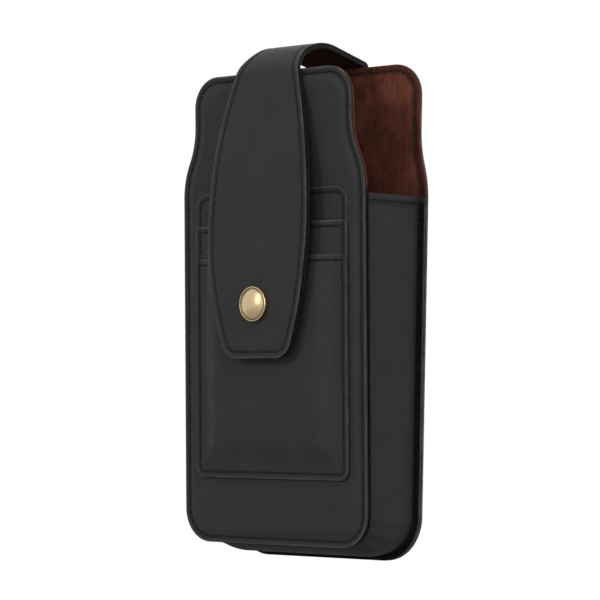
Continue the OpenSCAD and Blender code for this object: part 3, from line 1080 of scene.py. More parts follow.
@dataclass
class Panel:
    """A shouldered panel: leather over a board, with a lining behind."""

    name: str
    neck_w: float
    height: float
    low_r: float
    top_r: float
    shoulder: float
    outside: Matrix
    inside: Matrix
    tuck: float = 0.6
    painted: bool = True
    edge_ink_and_shade: float = 1.5
    wave_h: float = 0.035
    grid: Pair = (5.0, 6.0)
    lining_grid: float = 12.0
    rolls: Pair = (0.22, 0.12)
    thread_lifts: Pair = (0.12, 0.06)
    corner_steps: int = 12
    shoulder_steps: int = 8

    def draw(self) -> Layer:
        """Draws the panel's outline.

        Returns:
            The filled layer.
        """
        layer = Layer()
        half_w, half_neck = CUT.body_w / 2, self.neck_w / 2
        turn = 2 * math.atan((half_w - half_neck) / CUT.shoulder_h)
        r = CUT.shoulder_h / math.sin(turn) / 2
        turn = math.degrees(turn)
        pen = Pen(layer.bm, (0, 0))
        pen.line((half_w - self.low_r, 0))
        pen.arc((half_w - self.low_r, self.low_r), 90, self.corner_steps)
        pen.line((half_w, self.shoulder))
        pen.arc((half_w - r, self.shoulder), turn, self.shoulder_steps)
        pen.arc((half_neck + r, self.shoulder + CUT.shoulder_h), -turn, self.shoulder_steps)
        pen.line((half_neck, self.height - self.top_r))
        pen.arc((half_neck - self.top_r, self.height - self.top_r), 90, self.corner_steps)
        pen.line((0, self.height))
        layer.mirror_and_fill()
        return layer

    def build(self, shop: Shop) -> None:
        """Makes the leather, the lining and their thread.

        Args:
            shop: The finishes.
        """
        leather = self.draw()
        seam = leather.emboss(PANEL_STEPS, PANEL_SEAM)
        leather.rule(0, spread(-CUT.body_w / 2, CUT.body_w / 2, self.grid[0]))
        leather.rule(1, spread(0, self.height, self.grid[1]))
        leather.shape(self._soften)
        out = CUT.row() @ self.outside
        mats = [shop.leather, shop.edge if self.painted else shop.leather]
        name = self.name + "_leather"
        made = shop.sheet(name, leather.bm, out, mats, CUT.leather_t, self.rolls[0])
        join(made, Body.POUCH, Slot.LEATHER, self.name + "_panel")

        lining = self.draw()
        inner_seam = lining.emboss(LINING_STEPS, PANEL_SEAM)
        lining.rule(1, spread(0, self.height, self.lining_grid))
        # Darkens the lining's edge below the mouth: edge ink, and painted shade where it tucks into the
        # seam.
        lining.ink_and_shade_edge(self.edge_ink_and_shade, self.shoulder - WALL_TOP_GAP)
        lining.shape(self._tuck_in)
        back = CUT.row() @ self.inside @ Matrix.Translation((0, 0, CUT.skin_t))
        name, mats = self.name + "_suede", [shop.suede, shop.suede]
        made = shop.sheet(name, lining.bm, back, mats, CUT.lining_t, self.rolls[1])
        join(made, Body.POUCH, Slot.LINING, self.name + "_lining")

        thread = Stitching(self.name + "_thread")
        thread.sew(seam, out, self.thread_lifts[0], closed=True)
        thread.sew(inner_seam, back, self.thread_lifts[1], closed=True)
        join(thread.finish(shop), Body.POUCH)

    def _soften(self, co: Vector) -> Vector:
        """Gives the raised middle the slight unevenness of leather over board.

        Args:
            co: A point of the leather.

        Returns:
            The moved point.
        """
        if co.z < RAISED_FROM:
            return co
        seed = len(self.name)
        wave = math.sin(co.x / 9 + seed) * math.sin(co.y / 13 + 2 * seed)
        wave += 0.6 * math.sin(co.x / 4.3 - co.y / 7.1 + seed)
        return Vector((co.x, co.y, co.z + self.wave_h * wave))

    def _tuck_in(self, co: Vector) -> Vector:
        """Draws the lining's edge in below the mouth, where the side wall is sewn on.

        Args:
            co: A point of the lining.

        Returns:
            The moved point.
        """
        centre = Vector((CUT.body_w / 2 - self.low_r, self.low_r))
        out = Vector((max(0.0, abs(co.x) - centre.x), min(0.0, co.y - centre.y)))
        if out.length < 1e-6:
            return co
        depth = self.low_r - out.length
        fade = share_of(self.shoulder - WALL_TOP_GAP - co.y, TUCK_FADE)
        pull = self.tuck * fade * max(0.0, 1 - depth / TUCK_REACH)
        out.normalize()
        return co - Vector((math.copysign(out.x * pull, co.x), out.y * pull, 0))


FOLD_SHADE = 0.04
SHARP_FOLD = 1.2
LONG_RUN = 10.0
MID_WALL = (60.0, 90.0)
NEAR_WALL = 0.3
HUMP_POWER = 0.7
HEM_DROP = 2.4
# Drop below the mouth of each cut along the hem's seam, and its share of painted shade.
HEM_SEAM_SHADE: tuple[Step, ...] = ((1.9, 0.0), (2.25, 0.9), (2.55, 0.9), (2.9, 0.0))


@dataclass
class SideWall:
    """The strip sewn between the panels, round the sides and the bottom."""

    leather_t: float = 0.8
    flange_w: float = 2.5
    rim_w: float = 0.3
    fold_r: float = 0.8
    hem_h: float = 5.0
    side_swell: float = 1.2
    low_swell: float = 3.8
    pleat: float = 0.35
    pleat_count: float = 3.0
    ripple: float = 0.09
    play: float = 0.05
    rolls: Pair = (0.18, 0.12)
    side_steps: int = 28
    low_steps: int = 14
    corner_steps: int = 28
    across_cuts: tuple[int, int] = (14, 8)

    @property
    def wall_in(self) -> float:
        """Distance of the wall from the panels' edge."""
        return self.flange_w + self.fold_r

    @property
    def depth(self) -> float:
        """Distance of the flanges' inner face behind the panels' faces."""
        return CUT.skin_t + self.leather_t

    def chain(
        self,
        bm: Mesh,
        place: Matrix,
        low_r: float,
        top: float,
        section: Pair,
    ) -> list[bmesh.types.BMEdge]:
        """Draws one line of the strip down one side, round the bottom and up the other.

        Args:
            bm: The mesh to draw in.
            place: The panel's plan.
            low_r: Radius of the panel's lower corners.
            top: Height of the strip's end.
            section: Distance in from the panel's edge, and depth behind its face.

        Returns:
            The line's edges.
        """
        inset, depth = section
        half_w = CUT.body_w / 2
        pen = Pen(bm, (half_w - inset, top))
        pen.line((half_w - inset, low_r), cuts=self.side_steps)
        pen.arc((half_w - low_r, low_r), -90, self.corner_steps)
        pen.line((low_r - half_w, inset), cuts=self.low_steps)
        pen.arc((low_r - half_w, low_r), -90, self.corner_steps)
        pen.line((inset - half_w, top), cuts=self.side_steps)
        bmesh.ops.translate(bm, verts=pen.verts(), vec=(0, 0, -depth))
        bmesh.ops.transform(bm, matrix=place, verts=pen.verts())
        return pen.edges()

    def loft(self, sections: Sequence[Pair], top_drop: float) -> Mesh:
        """Bridges the lines of one layer of the strip.

        Args:
            sections: Inset and depth behind the panels' faces of each line, from a flange
                to the wall; the other side has the same in reverse.
            top_drop: How far the layer ends below the mouth.

        Returns:
            The mesh, in the holster's millimetres.
        """
        bm = bmesh.new()
        front = (CUT.front_plan(), CUT.front_low_r, CUT.mouth_h - top_drop)
        back = (CUT.back_plan(), CUT.back_low_r, CUT.mouth_z - top_drop)
        rows = [self.chain(bm, *front, section) for section in sections]
        rows += [self.chain(bm, *back, section) for section in reversed(sections)]
        for a, b in zip(rows, rows[1:]):
            bmesh.ops.bridge_loops(bm, edges=[*a, *b])
        return bm

    def swell(self, across: float, co: Vector) -> float:
        """Finds how far the soft wall stands out of its flat run.

        Args:
            across: Place between the front fold, 0, and the back fold, 1.
            co: The point in the holster's millimetres.

        Returns:
            The distance outwards.
        """
        corner_r = CUT.front_low_r + across * (CUT.back_low_r - CUT.front_low_r)
        down = CUT.front_rise * (1 - across) + corner_r - co.z
        hump = math.sin(math.pi * across) ** HUMP_POWER
        if down <= 0:
            run = CUT.mouth_z - self.hem_h - corner_r
            share = share_of(run + down, run)
            ripple = self.ripple * math.sin(co.z / 6.5 + 4 * across) * share
            return hump * (self.side_swell * share + ripple)
        beside = max(0.0, abs(co.x) - CUT.body_w / 2 + corner_r)
        turn = math.atan2(down, beside) / (math.pi / 2)
        pleats = math.sin(2 * math.pi * self.pleat_count * turn + across)
        pleats *= self.pleat * math.sin(math.pi * turn)
        return hump * (self.side_swell + (self.low_swell - self.side_swell) * turn + pleats)

    def across(self, co: Vector) -> float:
        """Returns a point's place between the front fold, 0, and the back fold, 1."""
        height = (co.z - CUT.front_rise) / math.cos(CUT.lean)
        front = CUT.front_point(height, -self.depth).y
        return share_of(co.y - front, -self.depth - front)

    def build(self, shop: Shop) -> None:
        """Makes the wall, its lining and its thread.

        Args:
            shop: The finishes.
        """
        row = CUT.row()
        roll = self.leather_t + self.play
        bm = self.loft([(inset, self.depth) for inset in (0.0, self.rim_w, self.wall_in)], roll)
        self._round_folds(bm)
        self._divide(bm, self.across_cuts[0])
        self._soften(bm)
        for side in (1, -1):
            self._turn_hem(bm, side, roll)
        self._face_outwards(bm)
        self._paint_flange_shade(bm)
        self._paint_hem_seam_shade(bm)
        mats = [shop.soft_leather, shop.soft_leather]
        made = shop.sheet("wall_leather", bm, row, mats, self.leather_t, self.rolls[0])
        join(made, Body.POUCH, Slot.LEATHER, "gusset")

        inset = self.wall_in + self.leather_t + CUT.lining_t
        inner = self.loft([(inset, self.depth + CUT.lining_t)], self.hem_h)
        self._divide(inner, self.across_cuts[1])
        self._soften(inner)
        bmesh.ops.reverse_faces(inner, faces=inner.faces)
        mats = [shop.suede, shop.suede]
        made = shop.sheet("wall_suede", inner, row, mats, CUT.lining_t, self.rolls[1])
        join(made, Body.POUCH, Slot.LINING, "gusset_lining")

        thread = Stitching("wall_thread")
        wall_x = CUT.body_w / 2 - self.wall_in - 0.02
        front = CUT.front_point(CUT.mouth_h - HEM_DROP, -self.depth - 1)
        back = Vector((0, -self.depth - 1, CUT.mouth_z - HEM_DROP))
        for side in (1, -1):
            turned = plan(Vector((0, side, 0)), Vector((0, 0, 1)), Vector())
            line = [Vector((p.y * side, p.z, wall_x)) for p in (front, back)]
            thread.sew(line, row @ turned)
        join(thread.finish(shop), Body.POUCH)

    def _paint_flange_shade(self, bm: Mesh) -> None:
        """Paints shade on the sewn flanges and into their folds, apart from the back flange's lit edge,
        which keeps its painted highlight.

        Args:
            bm: The wall.
        """
        shade_and_stain = bm.verts.layers.float.new("seam")
        for vert in bm.verts:
            across = self.across(vert.co)
            lit_edge = vert.is_boundary and across == 1.0
            shade = max(0.0, 1 - min(across, 1 - across) / FOLD_SHADE)
            vert[shade_and_stain] = 0.0 if lit_edge else 1.2 * shade

    def _paint_hem_seam_shade(self, bm: Mesh) -> None:
        """Cuts the wall along the hem's seam and paints the seam line's shade there.

        Args:
            bm: The wall.
        """
        shade_and_stain = bm.verts.layers.float["seam"]
        top, back = CUT.front_point(CUT.mouth_h, 0), Vector((0, 0, CUT.mouth_z))
        up = Vector((1, 0, 0)).cross(back - top).normalized()
        for drop, depth in HEM_SEAM_SHADE:
            made = bmesh.ops.bisect_plane(
                bm,
                geom=bm.verts[:] + bm.edges[:] + bm.faces[:],
                plane_co=top - Vector((0, 0, drop)),
                plane_no=up,
                dist=1e-4,
            )
            for vert in made["geom_cut"]:
                if isinstance(vert, bmesh.types.BMVert):
                    vert[shade_and_stain] = max(vert[shade_and_stain], depth)

    def _round_folds(self, bm: Mesh) -> None:
        """Rounds the folds between the flanges and the wall.

        Args:
            bm: The wall.
        """
        bm.normal_update()
        inner = (e for e in bm.edges if len(e.link_faces) == 2)
        bmesh.ops.bevel(
            bm,
            geom=[e for e in inner if e.calc_face_angle() > SHARP_FOLD],
            offset=self.fold_r,
            segments=4,
            profile=0.5,
            affect="EDGES",
            material=-1,
            clamp_overlap=False,
        )

    def _divide(self, bm: Mesh, cuts: int) -> None:
        """Cuts the long edges that run from the front to the back."""
        long = [e for e in bm.edges if abs(e.verts[0].co.y - e.verts[1].co.y) > LONG_RUN]
        bmesh.ops.subdivide_edges(bm, edges=long, cuts=cuts, use_grid_fill=True)

    def _soften(self, bm: Mesh) -> None:
        """Moves the wall's points out of their flat run.

        Args:
            bm: The wall or its lining.
        """
        self._face_outwards(bm)
        for vert in bm.verts:
            across = self.across(vert.co)
            if 0.0 < across < 1.0:
                vert.co += vert.normal * self.swell(across, vert.co)

    def _turn_hem(self, bm: Mesh, side: int, roll: float) -> None:
        """Rolls the wall's top edge inwards and down.

        Args:
            bm: The wall.
            side: 1 for the right wall and -1 for the left.
            roll: Radius of the roll.
        """
        wall_x = CUT.body_w / 2 - self.wall_in
        ends = [
            e for e in bm.edges
            if e.is_boundary
            and all(abs(v.co.x * side - wall_x) < NEAR_WALL for v in e.verts)
            and all(v.co.z > CUT.mouth_z - 6 for v in e.verts)
            and abs(e.verts[0].co.y - e.verts[1].co.y) > 0.2
        ]
        verts = sorted({v for e in ends for v in e.verts}, key=lambda v: v.co.y)
        front, back = verts[0].co.copy(), verts[-1].co.copy()
        made = bmesh.ops.spin(
            bm,
            geom=[*verts, *ends],
            cent=(front + back) / 2 - Vector((side * roll, 0, 0)),
            axis=(front - back) * side,
            angle=math.pi,
            steps=6,
            use_duplicate=False,
        )
        last = [g for g in made["geom_last"] if isinstance(g, bmesh.types.BMEdge)]
        made = bmesh.ops.extrude_edge_only(bm, edges=last)
        down = [g for g in made["geom"] if isinstance(g, bmesh.types.BMVert)]
        bmesh.ops.translate(bm, verts=down, vec=(0, 0, -self.hem_h))

    def _face_outwards(self, bm: Mesh) -> None:
        """Turns the strip's good side out of the pouch.

        Args:
            bm: The wall or its lining.
        """
        bmesh.ops.recalc_face_normals(bm, faces=bm.faces)
        bm.normal_update()
        low, high = MID_WALL
        beside = [f for f in bm.faces if low < f.calc_center_median().z < high]
        beside = [f for f in beside if abs(f.normal.x) > 0.9]
        wall = max(beside, key=lambda f: f.calc_center_median().x)
        if wall.normal.x < 0:
            bmesh.ops.reverse_faces(bm, faces=bm.faces)
        bm.normal_update()


CARD_STEPS: tuple[Step, ...] = (
    (0.25, 0.08), (0.6, 0.11), (1.4, 0.02), (1.75, -0.1), (2.05, -0.15), (2.35, -0.1),
    (2.7, 0.0), (3.6, 0.03),
)
CARD_SEAM = 2.05
CARD_HEM = 2.1
HEM_GROOVE = 0.5
HEM_ROWS = (0.3, 0.8, 1.5, 1.8, CARD_HEM, 2.4, 2.7, 3.4)
SWELL_ROWS = (5.0, 6.5, 8.5, 11.0, 14.0)


@dataclass
class CardSlots:
    """Three card layers on the front panel, sewn on three sides."""

    half_w: float = 36.5
    low: float = 23.8
    tops: tuple[float, float, float] = (127.2, 115.2, 103.2)
    layer_t: float = 0.4
    borders: tuple[float, float, float] = (1.0, 1.4, 1.8)
    faces: tuple[float, float, float] = (1.3, 2.9, 4.7)
    overhang: float = 14.0
    bow: float = 0.12
    hem_sink: float = 0.16
    hem_steps: int = 24
    corner_r: float = 4.0
    back_top_r: float = 5.5
    mouth_r: float = 2.0
    grid: float = 8.0
    roll: float = 0.2
    thread_lifts: Pair = (0.08, 0.12)

    def build(self, shop: Shop) -> None:
        """Makes the three layers and their thread.

        Args:
            shop: The finishes.
        """
        thread = Stitching("card_thread")
        names = ("card_back", "card_inner", "card_outer")
        nodes = ("card_backing", "card_slot", "card_pocket")
        for k, (name, node) in enumerate(zip(names, nodes)):
            place = CUT.row() @ CUT.front_plan() @ Matrix.Translation((0, 0, self.borders[k]))
            layer, seam = self._slot(k) if k else self._backing()
            mats = [shop.leather, shop.edge]
            made = shop.sheet(name, layer.bm, place, mats, self.layer_t, self.roll)
            join(made, Body.POUCH, Slot.LEATHER, node)
            thread.sew(seam, place, self.thread_lifts[0], closed=k == 0)
            if k:
                end = self.half_w - CARD_SEAM - 1.0
                across = [end * (2 * i / self.hem_steps - 1) for i in range(self.hem_steps + 1)]
                line = [Vector((x, self.tops[k] - CARD_HEM, 0)) for x in across]
                thread.sew(line, lambda co: place @ self._sink(co, k), self.thread_lifts[1])
        join(thread.finish(shop), Body.POUCH)

    def _backing(self) -> tuple[Layer, list[Vector]]:
        """Draws the flat layer against the panel.

        Returns:
            The layer and its seam.
        """
        layer, top = Layer(), self.tops[0]
        rounded_plate(layer, self.half_w, self.low, top, (self.corner_r, self.back_top_r))
        seam = layer.emboss(CARD_STEPS, CARD_SEAM)
        layer.rule(1, spread(self.low, top, self.grid))
        return layer, seam

    def _slot(self, k: int) -> tuple[Layer, list[Vector]]:
        """Draws a layer that is open at its top.

        Args:
            k: 1 for the inner layer and 2 for the outer one.

        Returns:
            The layer and its seam, from the top down and up again.
        """
        layer, top = Layer(), self.tops[k]
        last, radii = SWELL_ROWS[-1], (self.corner_r, self.corner_r)
        rounded_plate(layer, self.half_w, self.low, top + self.overhang, radii)
        seam = layer.emboss(CARD_STEPS, CARD_SEAM)
        layer.rule(1, [top - drop for drop in HEM_ROWS], whole=True)
        layer.rule(1, [self.low + d for d in SWELL_ROWS])
        layer.rule(1, spread(self.low + last, top - self.corner_r, self.grid))
        layer.rule(0, [side * (self.half_w - d) for d in SWELL_ROWS for side in (1, -1)])
        layer.rule(0, spread(last - self.half_w, self.half_w - last, self.grid))
        layer.trim_top(top, self.mouth_r)
        # Paints shade along the groove of the hem's seam.
        for vert in layer.bm.verts:
            in_line = abs(top - CARD_HEM - vert.co.y) < 0.4
            if in_line and abs(vert.co.x) < self.half_w - CARD_SEAM:
                vert[layer.shade_and_stain] = 1.0
        layer.shape(lambda co: self._sink(co, k))
        seam = [p for p in seam if p.y < top - 1]
        turn = min(range(len(seam)), key=lambda i: (seam[i] - seam[i - 1]).length < 20)
        return layer, seam[turn:] + seam[:turn]

    def _sink(self, co: Vector, k: int) -> Vector:
        """Sinks the top seam and lifts a layer over what it holds.

        Args:
            co: The point.
            k: The layer.

        Returns:
            The moved point.
        """
        top, rise = self.tops[k], self.faces[k] - self.borders[k]
        in_reach = abs(co.x) < self.half_w - 3
        groove = max(0.0, 1 - abs(top - CARD_HEM - co.y) / HEM_GROOVE) if in_reach else 0.0
        border = CARD_STEPS[-1][0]
        inner = min(self.half_w - abs(co.x), co.y - self.low) - border
        share = share_of(inner, SWELL_ROWS[-1] - border)
        lift = rise * share * share * (3 - 2 * share)
        bow = self.bow * math.sin(math.pi * share_of(co.y - self.low, top - self.low))
        return Vector((co.x, co.y, co.z + lift - self.hem_sink * groove + bow * share))


FOLD_PITCH = 0.5
FOLD_LEAD = 1.0


@dataclass(frozen=True)
class SidePath:
    """A strip's middle line seen from the side, walked in straight and bent runs."""

    start: Point
    heading: float
    runs: tuple[Pair, ...]

    @property
    def length(self) -> float:
        """Length of the whole line."""
        return sum(run[0] for run in self.runs)

    def at(self, s: float) -> tuple[float, float, float]:
        """Finds the point at a distance along the line.

        Args:
            s: The distance.

        Returns:
            Its Y and Z and the heading there in radians, 0 forward and a quarter turn up.
        """
        y, z = self.start
        h = math.radians(self.heading)
        for k, (length, degrees) in enumerate(self.runs):
            part = s if k == len(self.runs) - 1 else min(s, length)
            turn = math.radians(degrees) / length
            if abs(turn) < 1e-9:
                y -= math.cos(h) * part
                z += math.sin(h) * part
            else:
                y -= (math.sin(h + turn * part) - math.sin(h)) / turn
                z -= (math.cos(h + turn * part) - math.cos(h)) / turn
            h += turn * part
            s -= length
            if s <= 0:
                break
        return y, z, h

    def stations(self, pitch: float, turn: float, fold: Pair = (0.0, 0.0)) -> list[float]:
        """Finds where a strip is cut so that it can follow the line.

        Args:
            pitch: Greatest distance between two cuts.
            turn: Greatest turn between them, in degrees.
            fold: Start and length of a stretch where runs begin that get close cuts.

        Returns:
            The cuts' distances along the line, from its start.
        """
        places: list[float] = []
        s = 0.0
        for length, degrees in self.runs:
            count = max(1, math.ceil(max(length / pitch, abs(degrees) / turn)))
            if 0 < s - fold[0] < fold[1]:
                count = max(count, math.ceil(length / FOLD_PITCH))
            places += [s + length * k / count for k in range(count)]
            s += length
        return places


STRIP_STEPS: tuple[Step, ...] = (
    (0.3, 0.05), (0.8, 0.08), (1.5, 0.04), (1.85, -0.14), (2.2, -0.2), (2.55, -0.12),
    (3.0, 0.02), (4.2, 0.08),
)
STRIP_LINING_STEPS: tuple[Step, ...] = ((0.4, 0.02), (1.9, 0.02), (2.2, -0.1), (2.5, 0.02))
STRIP_SEAM = 2.2


@dataclass
class Strip:
    """Leather and lining glued into a strip, drawn flat and bent along a side view line."""

    path: SidePath = field(init=False)
    name: str
    width: float
    leather_t: float
    lining_t: float
    corner_r: float
    roll: float
    column_w: float
    drawn_from: float = 0.0
    way: int = 1

    @property
    def half_t(self) -> float:
        """Half the strip's thickness."""
        return (self.leather_t + self.lining_t) / 2

    def place(self, side: Face) -> Placer:
        """Gives the bend from the flat strip to its place.

        Args:
            side: OUTSIDE for the leather and INSIDE for the lining.

        Returns:
            The change from the drawing to the row frame's metres.
        """
        row = CUT.row()

        def bend(co: Vector) -> Vector:
            """Returns the bent point."""
            y, z, h = self.path.at(self.drawn_from + self.way * co.y)
            depth = -side.value * (self.half_t + co.z)
            x = -self.way * side.value * co.x
            return row @ Vector((x, y - depth * math.sin(h), z - depth * math.cos(h)))

        return bend

    def sheet(
        self, shop: Shop, side: Face, cuts: Sequence[float]
    ) -> tuple[Piece, list[Vector]]:
        """Makes one of the two layers.

        Args:
            shop: The finishes.
            side: OUTSIDE for the leather and INSIDE for the lining.
            cuts: Where it is cut across so that it can bend.

        Returns:
            The piece and its seam in the drawing.
        """
        outside = side is Face.OUTSIDE
        steps = STRIP_STEPS if outside else STRIP_LINING_STEPS
        layer = self.draw()
        seam = layer.emboss(steps, STRIP_SEAM, (self.corner_r,))
        if not outside:
            # Darkens the lining's edge all round: edge ink, partly painted shade along the strip's rim.
            layer.ink_and_shade_edge()
        layer.rule(1, cuts, whole=True)
        layer.rule(0, spread(-self.width / 2, self.width / 2, self.column_w))
        layer.shape(self.place(side))
        name = self.name + ("_leather" if outside else "_suede")
        mats = [shop.leather if outside else shop.suede, shop.edge]
        thickness = self.leather_t if outside else self.lining_t
        return shop.sheet(name, layer.bm, Matrix(), mats, thickness, self.roll), seam


@dataclass
class Strap(Strip):
    """The closing strap, from its sewn end behind the back panel over the top to the front."""

    name: str = "strap"
    width: float = 47.2
    leather_t: float = 1.2
    lining_t: float = 0.7
    corner_r: float = 3.5
    roll: float = 0.25
    column_w: float = 5.0
    way: int = -1
    neck_w: float = 24.5
    wide_h: float = 47.0
    upper_r: float = 181.0
    lower_r: float = 123.0
    end_r: float = 7.0
    end_h: float = 19.3
    rise: float = 12.0
    crown: Pair = (23.5, -64.0)
    brow_len: float = 3.5
    straight_len: float = 22.0
    settle: Pair = (7.5, -3.5)
    level_len: float = 9.5
    swell: float = 6.8
    face: float = 9.3
    snap_v: float = 86.2
    anchor_h: float = 25.0
    clearance: float = 0.3
    bend_r: float = 1.6
    fold_len: float = 5.5
    fold_rise: float = math.radians(15)
    cut_pitch: float = 5.0
    cut_turn: float = 4.0
    thread_lift: float = -0.08
    hinge: Point = field(init=False)
    crown_at: float = field(init=False)
    tip_z: float = field(init=False)

    def __post_init__(self) -> None:
        """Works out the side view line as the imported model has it."""
        self.hinge = (CUT.panel_lift + self.half_t, CUT.back_h + self.clearance + self.half_t)
        front = self._front_runs()
        short = SidePath(self.hinge, self.rise, front)
        y, z, _ = short.at(short.length)
        out = CUT.front_point(0, 0)
        face = -(y - out.y) * math.cos(CUT.lean) - (z - out.z) * math.sin(CUT.lean) + self.half_t
        rear = (self.face - face) / math.cos(math.radians(self.rise) + CUT.lean)
        turn = 90 - self.rise
        tangent = self.bend_r * math.tan(math.radians(turn / 2))
        foot = CUT.back_h - self.anchor_h
        runs = (
            (self.hinge[1] - tangent - foot, 0.0),
            (self.bend_r * math.radians(turn), -turn),
            (rear - tangent, 0.0),
        )
        self.path = SidePath((self.hinge[0], foot), 90.0, runs + front)
        self.crown_at = sum(run[0] for run in runs)
        self.tip_z = CUT.front_point(self.snap_v - self.end_h, self.face).z
        self.drawn_from = self._reach(self.tip_z)

    def _front_runs(self) -> tuple[Pair, ...]:
        """Works out the front part of the side view line.

        Returns:
            The runs from the crown to past the tip.
        """
        slack_len = CUT.front_h - self.snap_v - self.straight_len - self.settle[0] - self.level_len
        angle = math.radians(-self.settle[1])
        left = self.swell - self.straight_len * math.sin(angle)
        left -= self.settle[0] * math.sin(angle / 2)
        slack = 2 * (math.degrees(math.asin(left / slack_len)) + self.settle[1])
        brow = self.rise + self.crown[1] + 90 + CUT.front_tilt + self.settle[1] - slack
        return (
            self.crown,
            (self.brow_len, -brow),
            (slack_len, -slack),
            (self.straight_len, 0.0),
            self.settle,
            (self.level_len + 2 * self.end_h, 0.0),
        )

    def _reach(self, z: float) -> float:
        """Finds where the strap's front comes down to a height.

        Args:
            z: The height.

        Returns:
            The distance along the line.
        """
        low, high = self.crown_at, self.path.length
        for _ in range(40):
            mid = (low + high) / 2
            low, high = (mid, high) if self.path.at(mid)[1] > z else (low, mid)
        return (low + high) / 2

    def draw(self) -> Layer:
        """Draws the flat strap, measured up from its tip.

        Returns:
            The filled layer.
        """
        layer = Layer()
        half_w, neck = self.width / 2, self.neck_w / 2
        low_x = half_w - self.lower_r
        end = (self.lower_r - self.end_r, self.wide_h - self.end_r)
        corner_x = low_x + math.sqrt(end[0] ** 2 - end[1] ** 2)
        corner = math.degrees(math.atan2(-end[1], corner_x - low_x))
        upper = math.degrees(math.acos(1 - (half_w - neck) / self.upper_r))
        pen = Pen(layer.bm, (0, 0))
        pen.line((corner_x, 0), pitch=4).arc((corner_x, self.end_r), 90 + corner, 10)
        pen.arc((low_x, self.wide_h), -corner, 12)
        pen.arc((half_w - self.upper_r, self.wide_h), upper, 20)
        for vert in pen.verts():
            vert.co.y = self.drawn_from - self._reach(self.tip_z + vert.co.y)
        top = self.drawn_from
        pen.line((neck, top - self.corner_r), pitch=4)
        pen.arc((neck - self.corner_r, top - self.corner_r), 90, 6)
        pen.line((0, top), pitch=4)
        layer.mirror_and_fill()
        return layer

    def build(self, shop: Shop) -> None:
        """Makes the leather, the lining and their thread, all bending at the hinge.

        Args:
            shop: The finishes.
        """
        thread = Stitching("strap_thread")
        fold = (self.path.runs[0][0] - FOLD_LEAD, self.fold_len)
        stations = self.path.stations(self.cut_pitch, self.cut_turn, fold)
        cuts = [self.drawn_from - s for s in stations]
        cuts = [p for p in cuts if 0.5 < p < self.drawn_from - 0.2]
        for side, slot, nodes in (
            (Face.OUTSIDE, Slot.LEATHER, ("strap", "strap_anchor")),
            (Face.INSIDE, Slot.LINING, ("strap_lining",)),
        ):
            made, seam = self.sheet(shop, side, cuts)
            self._hinge(made, slot, nodes)
            thread.sew(seam, self.place(side), self.thread_lift, closed=True)
        self._hinge(thread.finish(shop), None, ())

    def _hinge(self, made: Piece, slot: Slot | None, nodes: Sequence[str]) -> None:
        """Lets a piece bend where the strap leaves the back panel.

        Args:
            made: The piece.
            slot: Not used.
            nodes: The CAD nodes that it stands for.
        """
        row = CUT.row()
        start = Vector((0, *self.hinge))
        forward = Vector((0, -math.cos(self.fold_rise), math.sin(self.fold_rise)))
        end = start + forward * self.fold_len
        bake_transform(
            made, Body.POUCH.value, Body.FLAP.value, start=tuple(row @ start), end=tuple(row @ end)
        )
        stand_in(nodes)


@dataclass
class BeltLoop(Strip):
    """The loop on the back through which a belt passes."""

    name: str = "loop"
    width: float = 50.0
    leather_t: float = 1.1
    lining_t: float = 0.7
    corner_r: float = 2.0
    roll: float = 0.22
    column_w: float = 6.0
    belt_w: float = 50.0
    slope: float = 75.0
    end_h: float = 10.0
    tack: float = 1.2
    cut_pitch: float = 6.0
    cut_turn: float = 6.0
    thread_lifts: Pair = (0.1, 0.18)

    def __post_init__(self) -> None:
        """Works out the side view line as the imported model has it."""
        slope = math.radians(self.slope)
        r = CUT.belt_gap / (2 * (1 - math.cos(slope)))
        half_h = self.end_h + 2 * r * math.sin(slope) + self.belt_w / 2
        end, out, back = (self.end_h, 0.0), (r * slope, self.slope), (r * slope, -self.slope)
        self.path = SidePath(
            (CUT.panel_lift + self.half_t, CUT.origin.z - half_h),
            90.0,
            (end, out, back, (self.belt_w, 0.0), back, out, end),
        )

    def draw(self) -> Layer:
        """Draws the flat loop, measured up from its lower end.

        Returns:
            The filled layer.
        """
        layer = Layer()
        radii = (self.corner_r, self.corner_r)
        rounded_plate(layer, self.width / 2, 0.0, self.path.length, radii)
        return layer

    def build(self, shop: Shop) -> None:
        """Makes the loop's leather, lining and thread.

        Args:
            shop: The finishes.
        """
        thread = Stitching("loop_thread")
        cuts = self.path.stations(self.cut_pitch, self.cut_turn)[1:]
        made, seam = self.sheet(shop, Face.OUTSIDE, cuts)
        join(made, Body.POUCH, Slot.LEATHER, "belt_loop")
        place = self.place(Face.OUTSIDE)
        thread.sew(seam, place, self.thread_lifts[0], closed=True)
        inner = self.width / 2 - STRIP_SEAM
        for y in (self.end_h - self.tack, self.path.length - self.end_h + self.tack):
            line = [Vector((x, y, 0)) for x in (-inner, inner)]
            thread.sew(line, place, self.thread_lifts[1])
        made, _ = self.sheet(shop, Face.INSIDE, cuts)
        join(made, Body.POUCH, Slot.LINING, "belt_loop_lining")
        join(thread.finish(shop), Body.POUCH)


